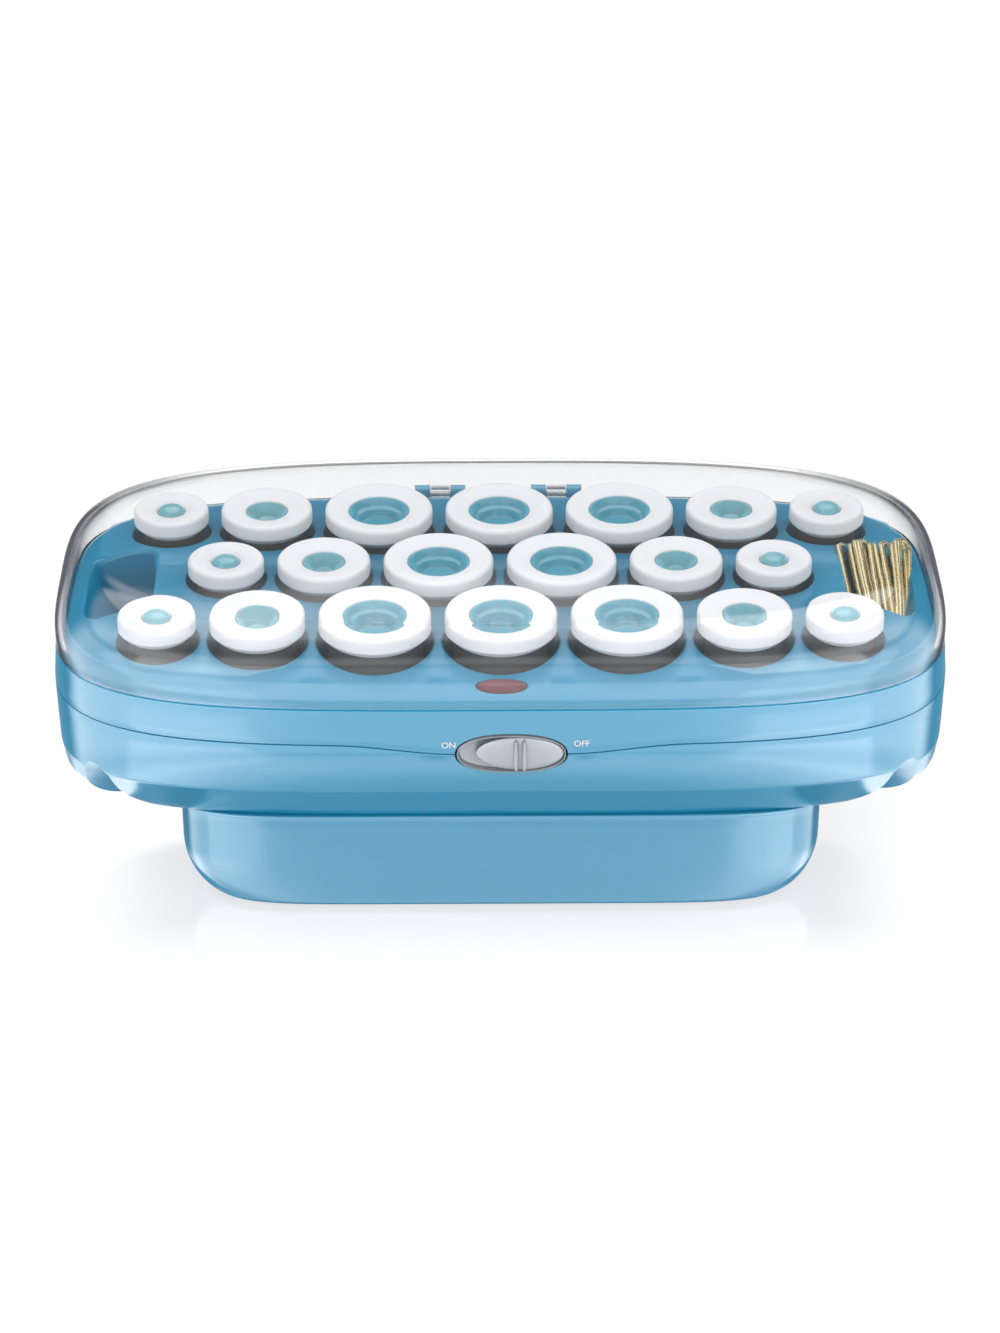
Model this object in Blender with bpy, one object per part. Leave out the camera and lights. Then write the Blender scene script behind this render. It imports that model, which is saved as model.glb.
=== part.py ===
"""Heated hair roller set: base with twenty heated posts, twenty rollers, clear hinged lid, slide switch.

Metres, +Z up. X runs along the set, the front faces -Y, and the set stands on Z = 0.
"""

from math import atan2, cos, hypot, pi, radians, sin, sqrt

import bmesh
import bpy
from mathutils import Matrix, Vector

MM = 0.001

# Clearances and walls
CLEAR = 0.3 * MM
SHELL_WALL = 2.4 * MM
POCKET_WALL = 1.8 * MM
LID_WALL = 2.2 * MM

# Rollers: three barrel diameters, each with its own core diameter
LARGE_BARREL = 38.1 * MM
MEDIUM_BARREL = 31.75 * MM
SMALL_BARREL = 25.4 * MM
LARGE_CORE = 24.0 * MM
MEDIUM_CORE = 17.7 * MM
SMALL_CORE = 12.4 * MM
ROLLER_LENGTH = 62.0 * MM
RING_OVERHANG = 1.6 * MM
RING_HEIGHT = 9.3 * MM
RING_FLANGE = 6.2 * MM
RING_EDGE = 2.4 * MM
CORE_RECESS = 1.2 * MM
CUP_DEPTH = 7.0 * MM
CUP_TAPER = 0.92
DOME_RISE = 2.6 * MM
DOME_TURNS = (radians(40), radians(72))
POST_DIAMETER = 9.0 * MM
POST_HEIGHT = 38.0 * MM
POST_FIT = 0.6 * MM

# Well layout: gaps left between neighbouring wells and beyond the outermost ones
WELL_MARGIN = 0.9 * MM
WELL_WEB = 3.2 * MM
ROW_WEB = 4.0 * MM
END_MARGIN = 25.8 * MM
FRONT_MARGIN = 20.9 * MM

# Heights of the stacked pieces
FOOT_HEIGHT = 1.2 * MM
PEDESTAL_HEIGHT = 41.1 * MM
LOWER_HEIGHT = 43.1 * MM
UPPER_HEIGHT = 14.0 * MM
LIP_HEIGHT = 3.8 * MM
ELEMENT_HEIGHT = 7.7 * MM
PLATE_THICKNESS = 2.5 * MM
LID_HEADROOM = 5.4 * MM

# Body form
SEAM_POWER = 3.8
BELLY_POWER = 4.8
LEDGE_DRAFT = 1.0 * MM
LIP_ROLL = 13.0 * MM
CREASE_HEIGHT = 21.5 * MM
CREASE_INSET = 3.6 * MM
CREASE_SWELL = 1.6
BELLY_INSET = 22.5 * MM
END_DRAFT = 2.5 * MM
BOTTOM_ROUND = 12.0 * MM
SEAM_DIP = 3.7 * MM
SEAM_DIP_REACH = 40.0 * MM
SCOOP_LENGTH = 23.5 * MM
SCOOP_DEPTH = 38.5 * MM
SCOOP_HEIGHT = 16.0 * MM
SCOOP_ROUND = 5.0 * MM

# Pedestal and feet
PEDESTAL_LENGTH = 242.0 * MM
PEDESTAL_DEPTH = 125.0 * MM
PEDESTAL_POWER = 5.0
PEDESTAL_ROUND = 24.0 * MM
PEDESTAL_DRAFT = 2.5 * MM
PEDESTAL_EDGE = 2.0 * MM
FOOT_DIAMETER = 14.0 * MM
FOOT_INSET = 20.0 * MM

# Lid
LID_ROUND = 20.0 * MM
LID_CROWN = 2.0 * MM
LID_TOP_POWER = 2.6

# Hinge at the rear of the ledge
HINGE_SPACING = 46.0 * MM
LUG_WIDTH = 7.4 * MM
EAR_WIDTH = 6.0 * MM
ROD_DIAMETER = 2.5 * MM
KNUCKLE_WALL = 1.75 * MM
KNUCKLE_GAP = 0.7 * MM

# Pin pockets beside the middle row
POCKET_WIDTH = 22.0 * MM
POCKET_LENGTH = 44.0 * MM
POCKET_DEPTH = 26.0 * MM
POCKET_INSET = 26.6 * MM
POCKET_SHIFT = 2.0 * MM
POCKET_LEAN = 8.5 * MM
POCKET_POWER = 6.0

# Switch on the front seam, and its indicator on the lip
SWITCH_LENGTH = 39.6 * MM
SWITCH_HEIGHT = 15.4 * MM
SWITCH_OFFSET = 3.4 * MM
SWITCH_RIM = 0.8 * MM
SWITCH_RECESS = 2.6 * MM
SWITCH_POWER = 2.3
TRAY_DEPTH = 5.4 * MM
SLIDER_LENGTH = 31.0 * MM
SLIDER_HEIGHT = 12.2 * MM
SLIDER_RIB = 4.6 * MM
SLIDER_RIB_RISE = 1.5 * MM
SLIDER_BEVEL = 0.4 * MM
SWITCH_BODY_DEPTH = 9.0 * MM
LENS_LENGTH = 17.6 * MM
LENS_WIDTH = 7.4 * MM
LENS_RISE = 0.7 * MM
LENS_STEM = 4.0 * MM
LENS_INSET = 13.0 * MM
LENS_TILT = radians(7)
LAMP_DIAMETER = 5.0 * MM
LAMP_HEIGHT = 9.0 * MM

# Heater, thermostat and cord gland
PLATE_MARGIN = 12.0 * MM
PLATE_POWER = 8.0
ELEMENT_WIDTH = 9.0 * MM
ELEMENT_INSET = 30.0 * MM
THERMOSTAT_DIAMETER = 17.0 * MM
GLAND_DIAMETER = 9.8 * MM
GLAND_BORE = 6.5 * MM
GLAND_FLANGE = 2.0 * MM
GLAND_LIP = 1.6 * MM
GLAND_OFFSET = 60.0 * MM
GLAND_DROP = 9.0 * MM

# Facets of round and long outlines
FACETS = {"hull": 44, "pedestal": 32, "oval": 24, "round": 12, "post": 8}

# Heights worked out from the stack
PEDESTAL_BOTTOM = FOOT_HEIGHT + CLEAR
PEDESTAL_TOP = PEDESTAL_BOTTOM + PEDESTAL_HEIGHT
HULL_BOTTOM = PEDESTAL_TOP + CLEAR
SEAM = HULL_BOTTOM + LOWER_HEIGHT
LEDGE = SEAM + UPPER_HEIGHT
DECK = LEDGE + LIP_HEIGHT
FLOOR = HULL_BOTTOM + SHELL_WALL
PLATE_BOTTOM = FLOOR + ELEMENT_HEIGHT + 2 * CLEAR
PLATE_TOP = PLATE_BOTTOM + PLATE_THICKNESS
ROLLER_SEAT = PLATE_TOP + CLEAR
LID_BOTTOM = LEDGE + CLEAR
LID_TOP = ROLLER_SEAT + ROLLER_LENGTH + LID_HEADROOM + LID_WALL

SIZES = {
    "large": {"barrel": LARGE_BARREL / 2, "core": LARGE_CORE / 2, "dome": False, "points": 14},
    "medium": {"barrel": MEDIUM_BARREL / 2, "core": MEDIUM_CORE / 2, "dome": False, "points": 13},
    "small": {"barrel": SMALL_BARREL / 2, "core": SMALL_CORE / 2, "dome": True, "points": 11},
}


def well_radius(size):
    return SIZES[size]["barrel"] + RING_OVERHANG + WELL_MARGIN


def row_places(first, sizes):
    """Mirrored X places of a row, from the first well outwards, a web apart."""
    places = []
    x = first
    for inner, outer in zip(sizes, sizes[1:] + [None]):
        places.append((x, inner))
        if outer:
            x += well_radius(inner) + WELL_WEB + well_radius(outer)
    mirrored = [(-x, size) for x, size in reversed(places) if x > 0]
    return mirrored + places


# Plan worked out from the wells
HALF_PITCH = well_radius("large") + WELL_WEB / 2
ROW_PITCH = sqrt((2 * well_radius("large") + ROW_WEB) ** 2 - HALF_PITCH**2)
LONG_ROW = row_places(0.0, ["large", "large", "medium", "small"])
SHORT_ROW = row_places(HALF_PITCH, ["large", "medium", "small"])
ROLLERS = [
    (x, y, size)
    for y, row in ((ROW_PITCH, LONG_ROW), (0.0, SHORT_ROW), (-ROW_PITCH, LONG_ROW))
    for x, size in row
]
HALF_LENGTH = LONG_ROW[-1][0] + well_radius("small") + END_MARGIN
HALF_DEPTH = ROW_PITCH + well_radius("large") + FRONT_MARGIN
LID_LENGTH = HALF_LENGTH - LEDGE_DRAFT
LID_DEPTH = HALF_DEPTH - LEDGE_DRAFT
LEDGE_WIDTH = LID_WALL + 2 * CLEAR
KNUCKLE = ROD_DIAMETER / 2 + CLEAR + KNUCKLE_WALL
HINGE_Y = LID_DEPTH + KNUCKLE_GAP + KNUCKLE
HINGE = Vector((0, HINGE_Y, LEDGE))
SWITCH = Vector((SWITCH_OFFSET, -HALF_DEPTH, SEAM - SEAM_DIP))
SLIDER_FACE = HALF_DEPTH + CLEAR
PLAN_SHIFT = (SLIDER_FACE + SLIDER_RIB_RISE - HINGE_Y - KNUCKLE) / 2


def superellipse_angles(points, length, depth, power):
    """Parameter angles of one quarter, spread evenly over both arc length and turning."""
    steps = 400
    dense = [pi / 2 * i / steps for i in range(steps + 1)]
    curve = [(length * cos(t) ** (2 / power), depth * max(sin(t), 0.0) ** (2 / power)) for t in dense]
    share = [0.0]
    heading = pi / 2
    total = sum(hypot(b[0] - a[0], b[1] - a[1]) for a, b in zip(curve, curve[1:]))
    for a, b in zip(curve, curve[1:]):
        turn = atan2(b[1] - a[1], b[0] - a[0])
        run = hypot(b[0] - a[0], b[1] - a[1])
        share.append(share[-1] + run / total + abs(turn - heading) / (pi / 2))
        heading = turn
    angles = []
    i = 0
    for k in range(points // 4):
        wanted = share[-1] * k / (points // 4)
        while share[i + 1] < wanted:
            i += 1
        part = (wanted - share[i]) / (share[i + 1] - share[i])
        angles.append(dense[i] + (dense[i + 1] - dense[i]) * part)
    return [quarter * pi / 2 + (t if quarter % 2 == 0 else pi / 2 - t_back)
            for quarter in range(4)
            for t, t_back in zip(angles, [pi / 2] + angles[:0:-1])]


def outline(length, depth, power, z, angles, centre=(0.0, 0.0)):
    """Superellipse loop of half sizes length and depth at height z."""
    loop = []
    for t in angles:
        x = abs(cos(t)) ** (2 / power) * length * (1 if cos(t) >= 0 else -1)
        y = abs(sin(t)) ** (2 / power) * depth * (1 if sin(t) >= 0 else -1)
        loop.append(Vector((centre[0] + x, centre[1] + y, z)))
    return loop


def even_angles(points):
    return [2 * pi * i / points for i in range(points)]


HULL_ANGLES = superellipse_angles(FACETS["hull"], HALF_LENGTH, HALF_DEPTH, SEAM_POWER)
PEDESTAL_ANGLES = superellipse_angles(FACETS["pedestal"], PEDESTAL_LENGTH, PEDESTAL_DEPTH, PEDESTAL_POWER)


def dipped(loop):
    """A seam loop lowered towards the switch on the front side."""
    lowered = []
    for p in loop:
        past = max(0.0, abs(p.x - SWITCH_OFFSET) - SWITCH_LENGTH / 2)
        dip = SEAM_DIP * max(0.0, 1 - past / SEAM_DIP_REACH)
        lowered.append(Vector((p.x, p.y, p.z - dip if p.y < 0 else p.z)))
    return lowered


def colour(code):
    """Linear colour of an sRGB hex code."""
    parts = [int(code[i:i + 2], 16) / 255 for i in (1, 3, 5)]
    return [c / 12.92 if c <= 0.04045 else ((c + 0.055) / 1.055) ** 2.4 for c in parts] + [1.0]


def material(name, code, roughness, metallic=0.0, clear=0.0):
    mat = bpy.data.materials.new(name)
    mat.use_nodes = True
    shader = mat.node_tree.nodes["Principled BSDF"]
    shader.inputs["Base Color"].default_value = colour(code)
    shader.inputs["Roughness"].default_value = roughness
    shader.inputs["Metallic"].default_value = metallic
    shader.inputs["Transmission Weight"].default_value = clear
    mat.diffuse_color = colour(code)
    return mat


def finished_mesh(name, bm, sharp=radians(35)):
    """Mesh of a closed form, faces out, round stretches smooth."""
    bmesh.ops.recalc_face_normals(bm, faces=bm.faces[:])
    mesh = bpy.data.meshes.new(name)
    bm.to_mesh(mesh)
    bm.free()
    mesh.shade_smooth()
    mesh.set_sharp_from_angle(angle=sharp)
    return mesh


def add_loops(bm, loops, closed=False):
    """Skin consecutive loops; the ends are capped, or joined to each other when closed."""
    rings = [[bm.verts.new(p) for p in loop] for loop in loops]
    pairs = list(zip(rings, rings[1:])) + ([(rings[-1], rings[0])] if closed else [])
    for lower, upper in pairs:
        count = len(lower)
        for i in range(count):
            j = (i + 1) % count
            bm.faces.new((lower[i], lower[j], upper[j], upper[i]))
    if not closed:
        bm.faces.new(rings[0])
        bm.faces.new(rings[-1])


def loops_mesh(name, loops, closed=False):
    bm = bmesh.new()
    add_loops(bm, loops, closed)
    return finished_mesh(name, bm)


def round_loops(profile, points, centre=(0.0, 0.0)):
    """Circles about a vertical axis for a list of (radius, height)."""
    return [outline(r, r, 2, z, even_angles(points), centre) for r, z in profile]


def along_x(points_yz, start, end):
    """Two loops of a prism along X."""
    return [[Vector((x, y, z)) for y, z in points_yz] for x in (start, end)]


def arc(centre, radius, start, end, steps):
    """Points of an arc in the YZ plane, angles from +Y towards +Z."""
    angles = [start + (end - start) * i / steps for i in range(steps + 1)]
    return [(centre[0] + radius * cos(t), centre[1] + radius * sin(t)) for t in angles]


def add_box(bm, low, high, rounding=0.0):
    size = Vector(high) - Vector(low)
    middle = (Vector(high) + Vector(low)) / 2
    matrix = Matrix.Translation(middle) @ Matrix.Diagonal((*size, 1))
    made = bmesh.ops.create_cube(bm, size=1.0, matrix=matrix)
    if rounding:
        edges = list({e for v in made["verts"] for e in v.link_edges})
        bmesh.ops.bevel(bm, geom=edges, offset=rounding, segments=2, profile=0.5, affect="EDGES")


def place(name, mesh, mat, parent, location=(0, 0, 0), rotation=(0, 0, 0)):
    """One sub-part of the set."""
    obj = bpy.data.objects.new(name, mesh)
    obj.parent = parent
    obj.location = location
    obj.rotation_euler = rotation
    mesh.materials.clear()
    mesh.materials.append(mat)
    bpy.context.scene.collection.objects.link(obj)
    return obj


def guide(name, mesh, parent, location=(0, 0, 0), rotation=(0, 0, 0)):
    """A cutter or filler, kept out of the model."""
    obj = bpy.data.objects.new(name, mesh)
    obj.parent = parent
    obj.location = location
    obj.rotation_euler = rotation
    obj.hide_render = True
    obj.display_type = "WIRE"
    bpy.context.scene.collection.objects.link(obj)
    return obj


def pivot(name, parent, location):
    """Empty on a joint's axis."""
    obj = bpy.data.objects.new(name, None)
    obj.parent = parent
    obj.location = location
    bpy.context.scene.collection.objects.link(obj)
    return obj


def boolean(obj, operation, other):
    mod = obj.modifiers.new(other.name, "BOOLEAN")
    mod.operation = operation
    mod.solver = "EXACT"
    mod.object = other


def belly_section(z, inset=0.0):
    """Hull outline at height z: upright rounded ends, and a front that leans in below its crease."""
    height = z - HULL_BOTTOM
    fall = (LOWER_HEIGHT - height) / (LOWER_HEIGHT - CREASE_HEIGHT)
    if fall <= 1:
        front = CREASE_INSET * max(fall, 0.0) ** CREASE_SWELL
    else:
        front = CREASE_INSET + (BELLY_INSET - CREASE_INSET) * (1 - height / CREASE_HEIGHT)
    ends = END_DRAFT * max(0.0, 1 - height / LOWER_HEIGHT)
    if height < BOTTOM_ROUND:
        ends += BOTTOM_ROUND - sqrt(BOTTOM_ROUND**2 - (BOTTOM_ROUND - height) ** 2)
    power = SEAM_POWER + (BELLY_POWER - SEAM_POWER) * min(1.0, max(fall, 0.0))
    return outline(HALF_LENGTH - ends - inset, HALF_DEPTH - front - inset, power, z, HULL_ANGLES)


def belly_heights():
    """Heights of the hull sections: the foot rounding, the crease and the upright part."""
    low = [BOTTOM_ROUND * (1 - cos(radians(a))) for a in (0, 35, 65)]
    return [HULL_BOTTOM + h for h in low + [CREASE_HEIGHT, (CREASE_HEIGHT + LOWER_HEIGHT) / 2]]


def scoop_mesh(name, grow):
    """Finger notches under the two front corners."""
    bm = bmesh.new()
    inner = HALF_LENGTH - SCOOP_LENGTH - grow
    back = -HALF_DEPTH + SCOOP_DEPTH + grow
    top = HULL_BOTTOM + SCOOP_HEIGHT + grow
    reach = HALF_LENGTH + HALF_DEPTH
    for side in (-1, 1):
        low = (min(side * inner, side * reach), -reach, HULL_BOTTOM - reach)
        high = (max(side * inner, side * reach), back, top)
        add_box(bm, low, high, SCOOP_ROUND)
    return finished_mesh(name, bm)


def switch_oval(grow, front, back):
    """Two loops of the switch oval, lying in the front wall."""
    angles = even_angles(FACETS["oval"])
    flat = outline(SWITCH_LENGTH / 2 + grow, SWITCH_HEIGHT / 2 + grow, SWITCH_POWER, 0, angles)
    return [[Vector((SWITCH.x + p.x, y, SWITCH.z + p.y)) for p in flat] for y in (front, back)]


def gland_place():
    """Where the cord leaves the rear wall."""
    share = GLAND_OFFSET / HALF_LENGTH
    wall = HALF_DEPTH * (1 - share**SEAM_POWER) ** (1 / SEAM_POWER)
    return Vector((-GLAND_OFFSET, wall, SEAM - GLAND_DROP))


def lower_housing(root, mat):
    """Tub under the seam, with finger notches, the lower half of the switch hole and the gland hole."""
    heights = belly_heights()
    outer = [belly_section(z) for z in heights]
    outer.append(dipped(belly_section(SEAM - CLEAR / 2)))
    inner = [dipped(belly_section(SEAM - CLEAR / 2, SHELL_WALL))]
    inner += [belly_section(z, SHELL_WALL) for z in reversed(heights[2:])]
    inner.append(belly_section(FLOOR, SHELL_WALL))
    tub = place("lower_housing", loops_mesh("lower_housing", outer + inner), mat, root)

    middle = [belly_section(z, SHELL_WALL / 2) for z in [HULL_BOTTOM + SHELL_WALL / 2] + heights[1:]]
    core = guide("lower_core", loops_mesh("lower_core", middle), root)
    skin = guide("scoop_skin", scoop_mesh("scoop_skin", SHELL_WALL), root)
    boolean(skin, "INTERSECT", core)
    scoop = guide("scoop_cut", scoop_mesh("scoop_cut", 0.0), root)
    boolean(tub, "UNION", skin)
    boolean(tub, "DIFFERENCE", scoop)

    bm = bmesh.new()
    add_loops(bm, switch_oval(CLEAR, -HALF_DEPTH - SWITCH_RECESS, -HALF_DEPTH + TRAY_DEPTH))
    at = gland_place()
    radius = GLAND_DIAMETER / 2 + CLEAR
    bore = round_loops([(radius, -2 * SHELL_WALL), (radius, 2 * SHELL_WALL)], FACETS["round"])
    add_loops(bm, [[at + Vector((p.x, p.z, p.y)) for p in loop] for loop in bore])
    boolean(tub, "DIFFERENCE", guide("lower_cuts", finished_mesh("lower_cuts", bm), root))


def deck_lip(inset):
    """Loops of the lip that rolls from the ledge up to the flat deck."""
    loops = []
    for angle in (0, 35, 65, 90):
        t = radians(angle)
        run = LEDGE_WIDTH + LIP_ROLL * (1 - cos(t)) + inset
        loops.append((run, LEDGE + LIP_HEIGHT * sin(t)))
    return [outline(LID_LENGTH - run, LID_DEPTH - run, SEAM_POWER, z, HULL_ANGLES) for run, z in loops]


def pocket_loops(side, grow, heights):
    """Loops of a pin pocket, whose outer wall leans in below the deck."""
    loops = []
    for z in heights:
        lean = POCKET_LEAN * max(0.0, DECK - z) / POCKET_DEPTH
        centre = (side * (HALF_LENGTH - POCKET_INSET - lean / 2), POCKET_SHIFT)
        half_width = (POCKET_WIDTH - lean) / 2 + grow
        half_length = POCKET_LENGTH / 2 + grow
        loops.append(outline(half_width, half_length, POCKET_POWER, z, even_angles(FACETS["oval"]), centre))
    return loops


def ear_spans():
    """X spans of the two housing ears beside each lid lug."""
    lug = LUG_WIDTH / 2 + CLEAR
    for side in (-1, 1):
        middle = side * HINGE_SPACING / 2
        yield middle - lug - EAR_WIDTH, middle - lug
        yield middle + lug, middle + lug + EAR_WIDTH


def rod_loops(radius, reach):
    circle = arc((HINGE_Y, LEDGE), radius, 0, 2 * pi, FACETS["round"])[:-1]
    return along_x(circle, -reach, reach)


def hinge_reach():
    return HINGE_SPACING / 2 + LUG_WIDTH / 2 + CLEAR + EAR_WIDTH


def lens_place():
    return Vector((0, -LID_DEPTH + LEDGE_WIDTH + LENS_INSET - LENS_WIDTH / 2, DECK))


def upper_housing(root, mat):
    """Deck with its wells and pockets, rolled lip, lid ledge, front skirt and rear hinge ears."""
    lip = deck_lip(0.0)
    outer = list(reversed(lip))
    outer.append(outline(LID_LENGTH, LID_DEPTH, SEAM_POWER, LEDGE, HULL_ANGLES))
    outer.append(dipped(outline(HALF_LENGTH, HALF_DEPTH, SEAM_POWER, SEAM + CLEAR / 2, HULL_ANGLES)))
    wall = SHELL_WALL
    skirt = outline(HALF_LENGTH - wall, HALF_DEPTH - wall, SEAM_POWER, SEAM + CLEAR / 2, HULL_ANGLES)
    inner = [dipped(skirt)]
    inner.append(outline(LID_LENGTH - wall, LID_DEPTH - wall, SEAM_POWER, LEDGE - wall, HULL_ANGLES))
    inner.append(outline(LID_LENGTH - LEDGE_WIDTH - wall, LID_DEPTH - LEDGE_WIDTH - wall, SEAM_POWER,
                         LEDGE - wall, HULL_ANGLES))
    run = LEDGE_WIDTH + LIP_ROLL
    inner.append(outline(LID_LENGTH - run, LID_DEPTH - run, SEAM_POWER, DECK - wall, HULL_ANGLES))
    deck = place("upper_housing", loops_mesh("upper_housing", outer + inner), mat, root)

    bm = bmesh.new()
    for side in (-1, 1):
        add_loops(bm, pocket_loops(side, POCKET_WALL, (DECK - wall / 2, DECK - POCKET_DEPTH - POCKET_WALL)))
    root_y = LID_DEPTH - wall / 2
    ear = [(root_y, LEDGE - KNUCKLE)] + arc((HINGE_Y, LEDGE), KNUCKLE, -pi / 2, pi, FACETS["round"])
    ear.append((root_y, LEDGE - CLEAR))
    for start, end in ear_spans():
        add_loops(bm, along_x(ear, start, end))
    boolean(deck, "UNION", guide("deck_adds", finished_mesh("deck_adds", bm), root))

    bm = bmesh.new()
    for x, y, size in ROLLERS:
        radius = well_radius(size)
        cut = [(radius, DECK - 2 * wall), (radius, DECK + wall)]
        add_loops(bm, round_loops(cut, SIZES[size]["points"], (x, y)))
    for side in (-1, 1):
        add_loops(bm, pocket_loops(side, 0.0, (DECK + wall, DECK, DECK - POCKET_DEPTH)))
    add_loops(bm, switch_oval(CLEAR, -HALF_DEPTH - SWITCH_RECESS, -HALF_DEPTH + TRAY_DEPTH))
    add_loops(bm, rod_loops(ROD_DIAMETER / 2 + CLEAR, hinge_reach() + EAR_WIDTH))
    boolean(deck, "DIFFERENCE", guide("deck_cuts", finished_mesh("deck_cuts", bm), root))
    hole = lens_loops(CLEAR, [(1.0, -2 * LENS_STEM), (1.0, LENS_STEM)])
    tilt = (LENS_TILT, 0, 0)
    boolean(deck, "DIFFERENCE", guide("lens_cut", loops_mesh("lens_cut", hole), root, lens_place(), tilt))


def lens_loops(grow, profile):
    """Ovals of the indicator lens for a list of (share of its size, height)."""
    angles = even_angles(FACETS["oval"])
    return [outline(LENS_LENGTH / 2 * share + grow, LENS_WIDTH / 2 * share + grow, 2, z, angles)
            for share, z in profile]


def pedestal(root, mat):
    """Foot of the set: an open-topped tub with upright sides and rolled lower ends."""
    bottom_round = min(PEDESTAL_ROUND, PEDESTAL_HEIGHT - PEDESTAL_EDGE)

    def section(height, inset):
        roll = 0.0
        if height < bottom_round:
            roll = bottom_round - sqrt(bottom_round**2 - (bottom_round - height) ** 2)
        edge = PEDESTAL_EDGE if height > PEDESTAL_HEIGHT - PEDESTAL_EDGE / 2 else 0.0
        lean = PEDESTAL_DRAFT * (1 - height / PEDESTAL_HEIGHT)
        half_length = PEDESTAL_LENGTH / 2 - roll - edge - inset
        half_depth = PEDESTAL_DEPTH / 2 - lean - edge / 2 - inset
        return outline(half_length, half_depth, PEDESTAL_POWER, PEDESTAL_BOTTOM + height, PEDESTAL_ANGLES)

    rise = [bottom_round * (1 - cos(radians(a))) for a in (0, 28, 52, 90)]
    outer = [section(h, 0.0) for h in rise + [PEDESTAL_HEIGHT - 2 * PEDESTAL_EDGE, PEDESTAL_HEIGHT]]
    inner = [section(h, SHELL_WALL) for h in (PEDESTAL_HEIGHT, rise[3], rise[2], SHELL_WALL)]
    place("pedestal", loops_mesh("pedestal", outer + inner), mat, root)


def feet(root, mat):
    """Four rubber pads under the pedestal."""
    flat = PEDESTAL_LENGTH / 2 - PEDESTAL_ROUND
    radius = FOOT_DIAMETER / 2
    pad = loops_mesh("foot", round_loops([(radius, 0), (radius, FOOT_HEIGHT)], FACETS["round"]))
    places = [(sx * (flat - FOOT_DIAMETER), sy * (PEDESTAL_DEPTH / 2 - FOOT_INSET))
              for sy in (-1, 1) for sx in (-1, 1)]
    for number, (x, y) in enumerate(places, 1):
        place(f"foot_{number}", pad, mat, root, (x, y, 0))


def lid_loops(inset, crown, turns):
    """Lid surface loops from the crown outwards and down its rounding; inset makes the inner surface."""
    top = LID_TOP - inset
    bend = min(LID_ROUND, LID_TOP - LID_BOTTOM - LID_WALL) - inset
    spring = top - bend
    loops = []
    for share, rise in crown:
        loops.append(outline((LID_LENGTH - inset - bend) * share, (LID_DEPTH - inset - bend) * share,
                             LID_TOP_POWER, top + LID_CROWN * rise, HULL_ANGLES))
    for angle in turns:
        t = radians(angle)
        run = bend * (1 - sin(t))
        power = SEAM_POWER + (LID_TOP_POWER - SEAM_POWER) * run / bend
        loops.append(outline(LID_LENGTH - inset - run, LID_DEPTH - inset - run, power,
                             spring + bend * cos(t), HULL_ANGLES))
    loops.append(outline(LID_LENGTH - inset, LID_DEPTH - inset, SEAM_POWER, LID_BOTTOM, HULL_ANGLES))
    return loops


def lid(root, mat):
    """Clear cover with rounded shoulders, and two lugs that reach back to the hinge rod."""
    outer = lid_loops(0.0, [(0.5, 1.0)], (0, 30, 60, 90))
    inner = lid_loops(LID_WALL, [(0.5, 1.0)], (0, 30, 60, 90))
    axis = pivot("lid_axis", root, HINGE)
    cover = place("lid", loops_mesh("lid", outer + list(reversed(inner))), mat, axis, -HINGE)

    bm = bmesh.new()
    root_y = LID_DEPTH - LID_WALL / 2
    lug = [(root_y, LEDGE + KNUCKLE)] + arc((HINGE_Y, LEDGE), KNUCKLE, pi / 2, -pi, FACETS["round"])
    lug.append((root_y, LID_BOTTOM + CLEAR))
    for side in (-1, 1):
        middle = side * HINGE_SPACING / 2
        add_loops(bm, along_x(lug, middle - LUG_WIDTH / 2, middle + LUG_WIDTH / 2))
    boolean(cover, "UNION", guide("lid_lugs", finished_mesh("lid_lugs", bm), root))
    bore = loops_mesh("lid_bore", rod_loops(ROD_DIAMETER / 2 + CLEAR, hinge_reach()))
    boolean(cover, "DIFFERENCE", guide("lid_bore", bore, root))


def hinge_rod(root, mat):
    place("hinge_rod", loops_mesh("hinge_rod", rod_loops(ROD_DIAMETER / 2, hinge_reach())), mat, root)


def heating_plate(root, mat):
    """Plate with one post for each roller."""
    length = LONG_ROW[-1][0] + PLATE_MARGIN
    depth = ROW_PITCH + PLATE_MARGIN
    angles = superellipse_angles(FACETS["pedestal"], length, depth, PLATE_POWER)
    sheet = [outline(length, depth, PLATE_POWER, z, angles) for z in (PLATE_BOTTOM, PLATE_TOP)]
    plate = place("heating_plate", loops_mesh("heating_plate", sheet), mat, root)
    bm = bmesh.new()
    radius = POST_DIAMETER / 2
    post = [(radius, PLATE_TOP - PLATE_THICKNESS / 2), (radius, PLATE_TOP + POST_HEIGHT)]
    for x, y, _ in ROLLERS:
        add_loops(bm, round_loops(post, FACETS["post"], (x, y)))
    boolean(plate, "UNION", guide("posts", finished_mesh("posts", bm), root))


def heater(root, element_mat, thermostat_mat):
    """Racetrack heating element and a thermostat, both under the plate."""
    length = LONG_ROW[-1][0] + PLATE_MARGIN - ELEMENT_INSET
    depth = ROW_PITCH + PLATE_MARGIN - ELEMENT_INSET
    low = FLOOR + CLEAR
    high = PLATE_BOTTOM - CLEAR
    angles = superellipse_angles(FACETS["oval"], length, depth, BELLY_POWER)
    ring = [outline(length - inset, depth - inset, BELLY_POWER, z, angles)
            for inset, z in ((0, low), (0, high), (ELEMENT_WIDTH, high), (ELEMENT_WIDTH, low))]
    place("heating_element", loops_mesh("heating_element", ring, closed=True), element_mat, root)
    disc = [(THERMOSTAT_DIAMETER / 2, low), (THERMOSTAT_DIAMETER / 2, high)]
    place("thermostat", loops_mesh("thermostat", round_loops(disc, FACETS["round"])), thermostat_mat, root)


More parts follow.
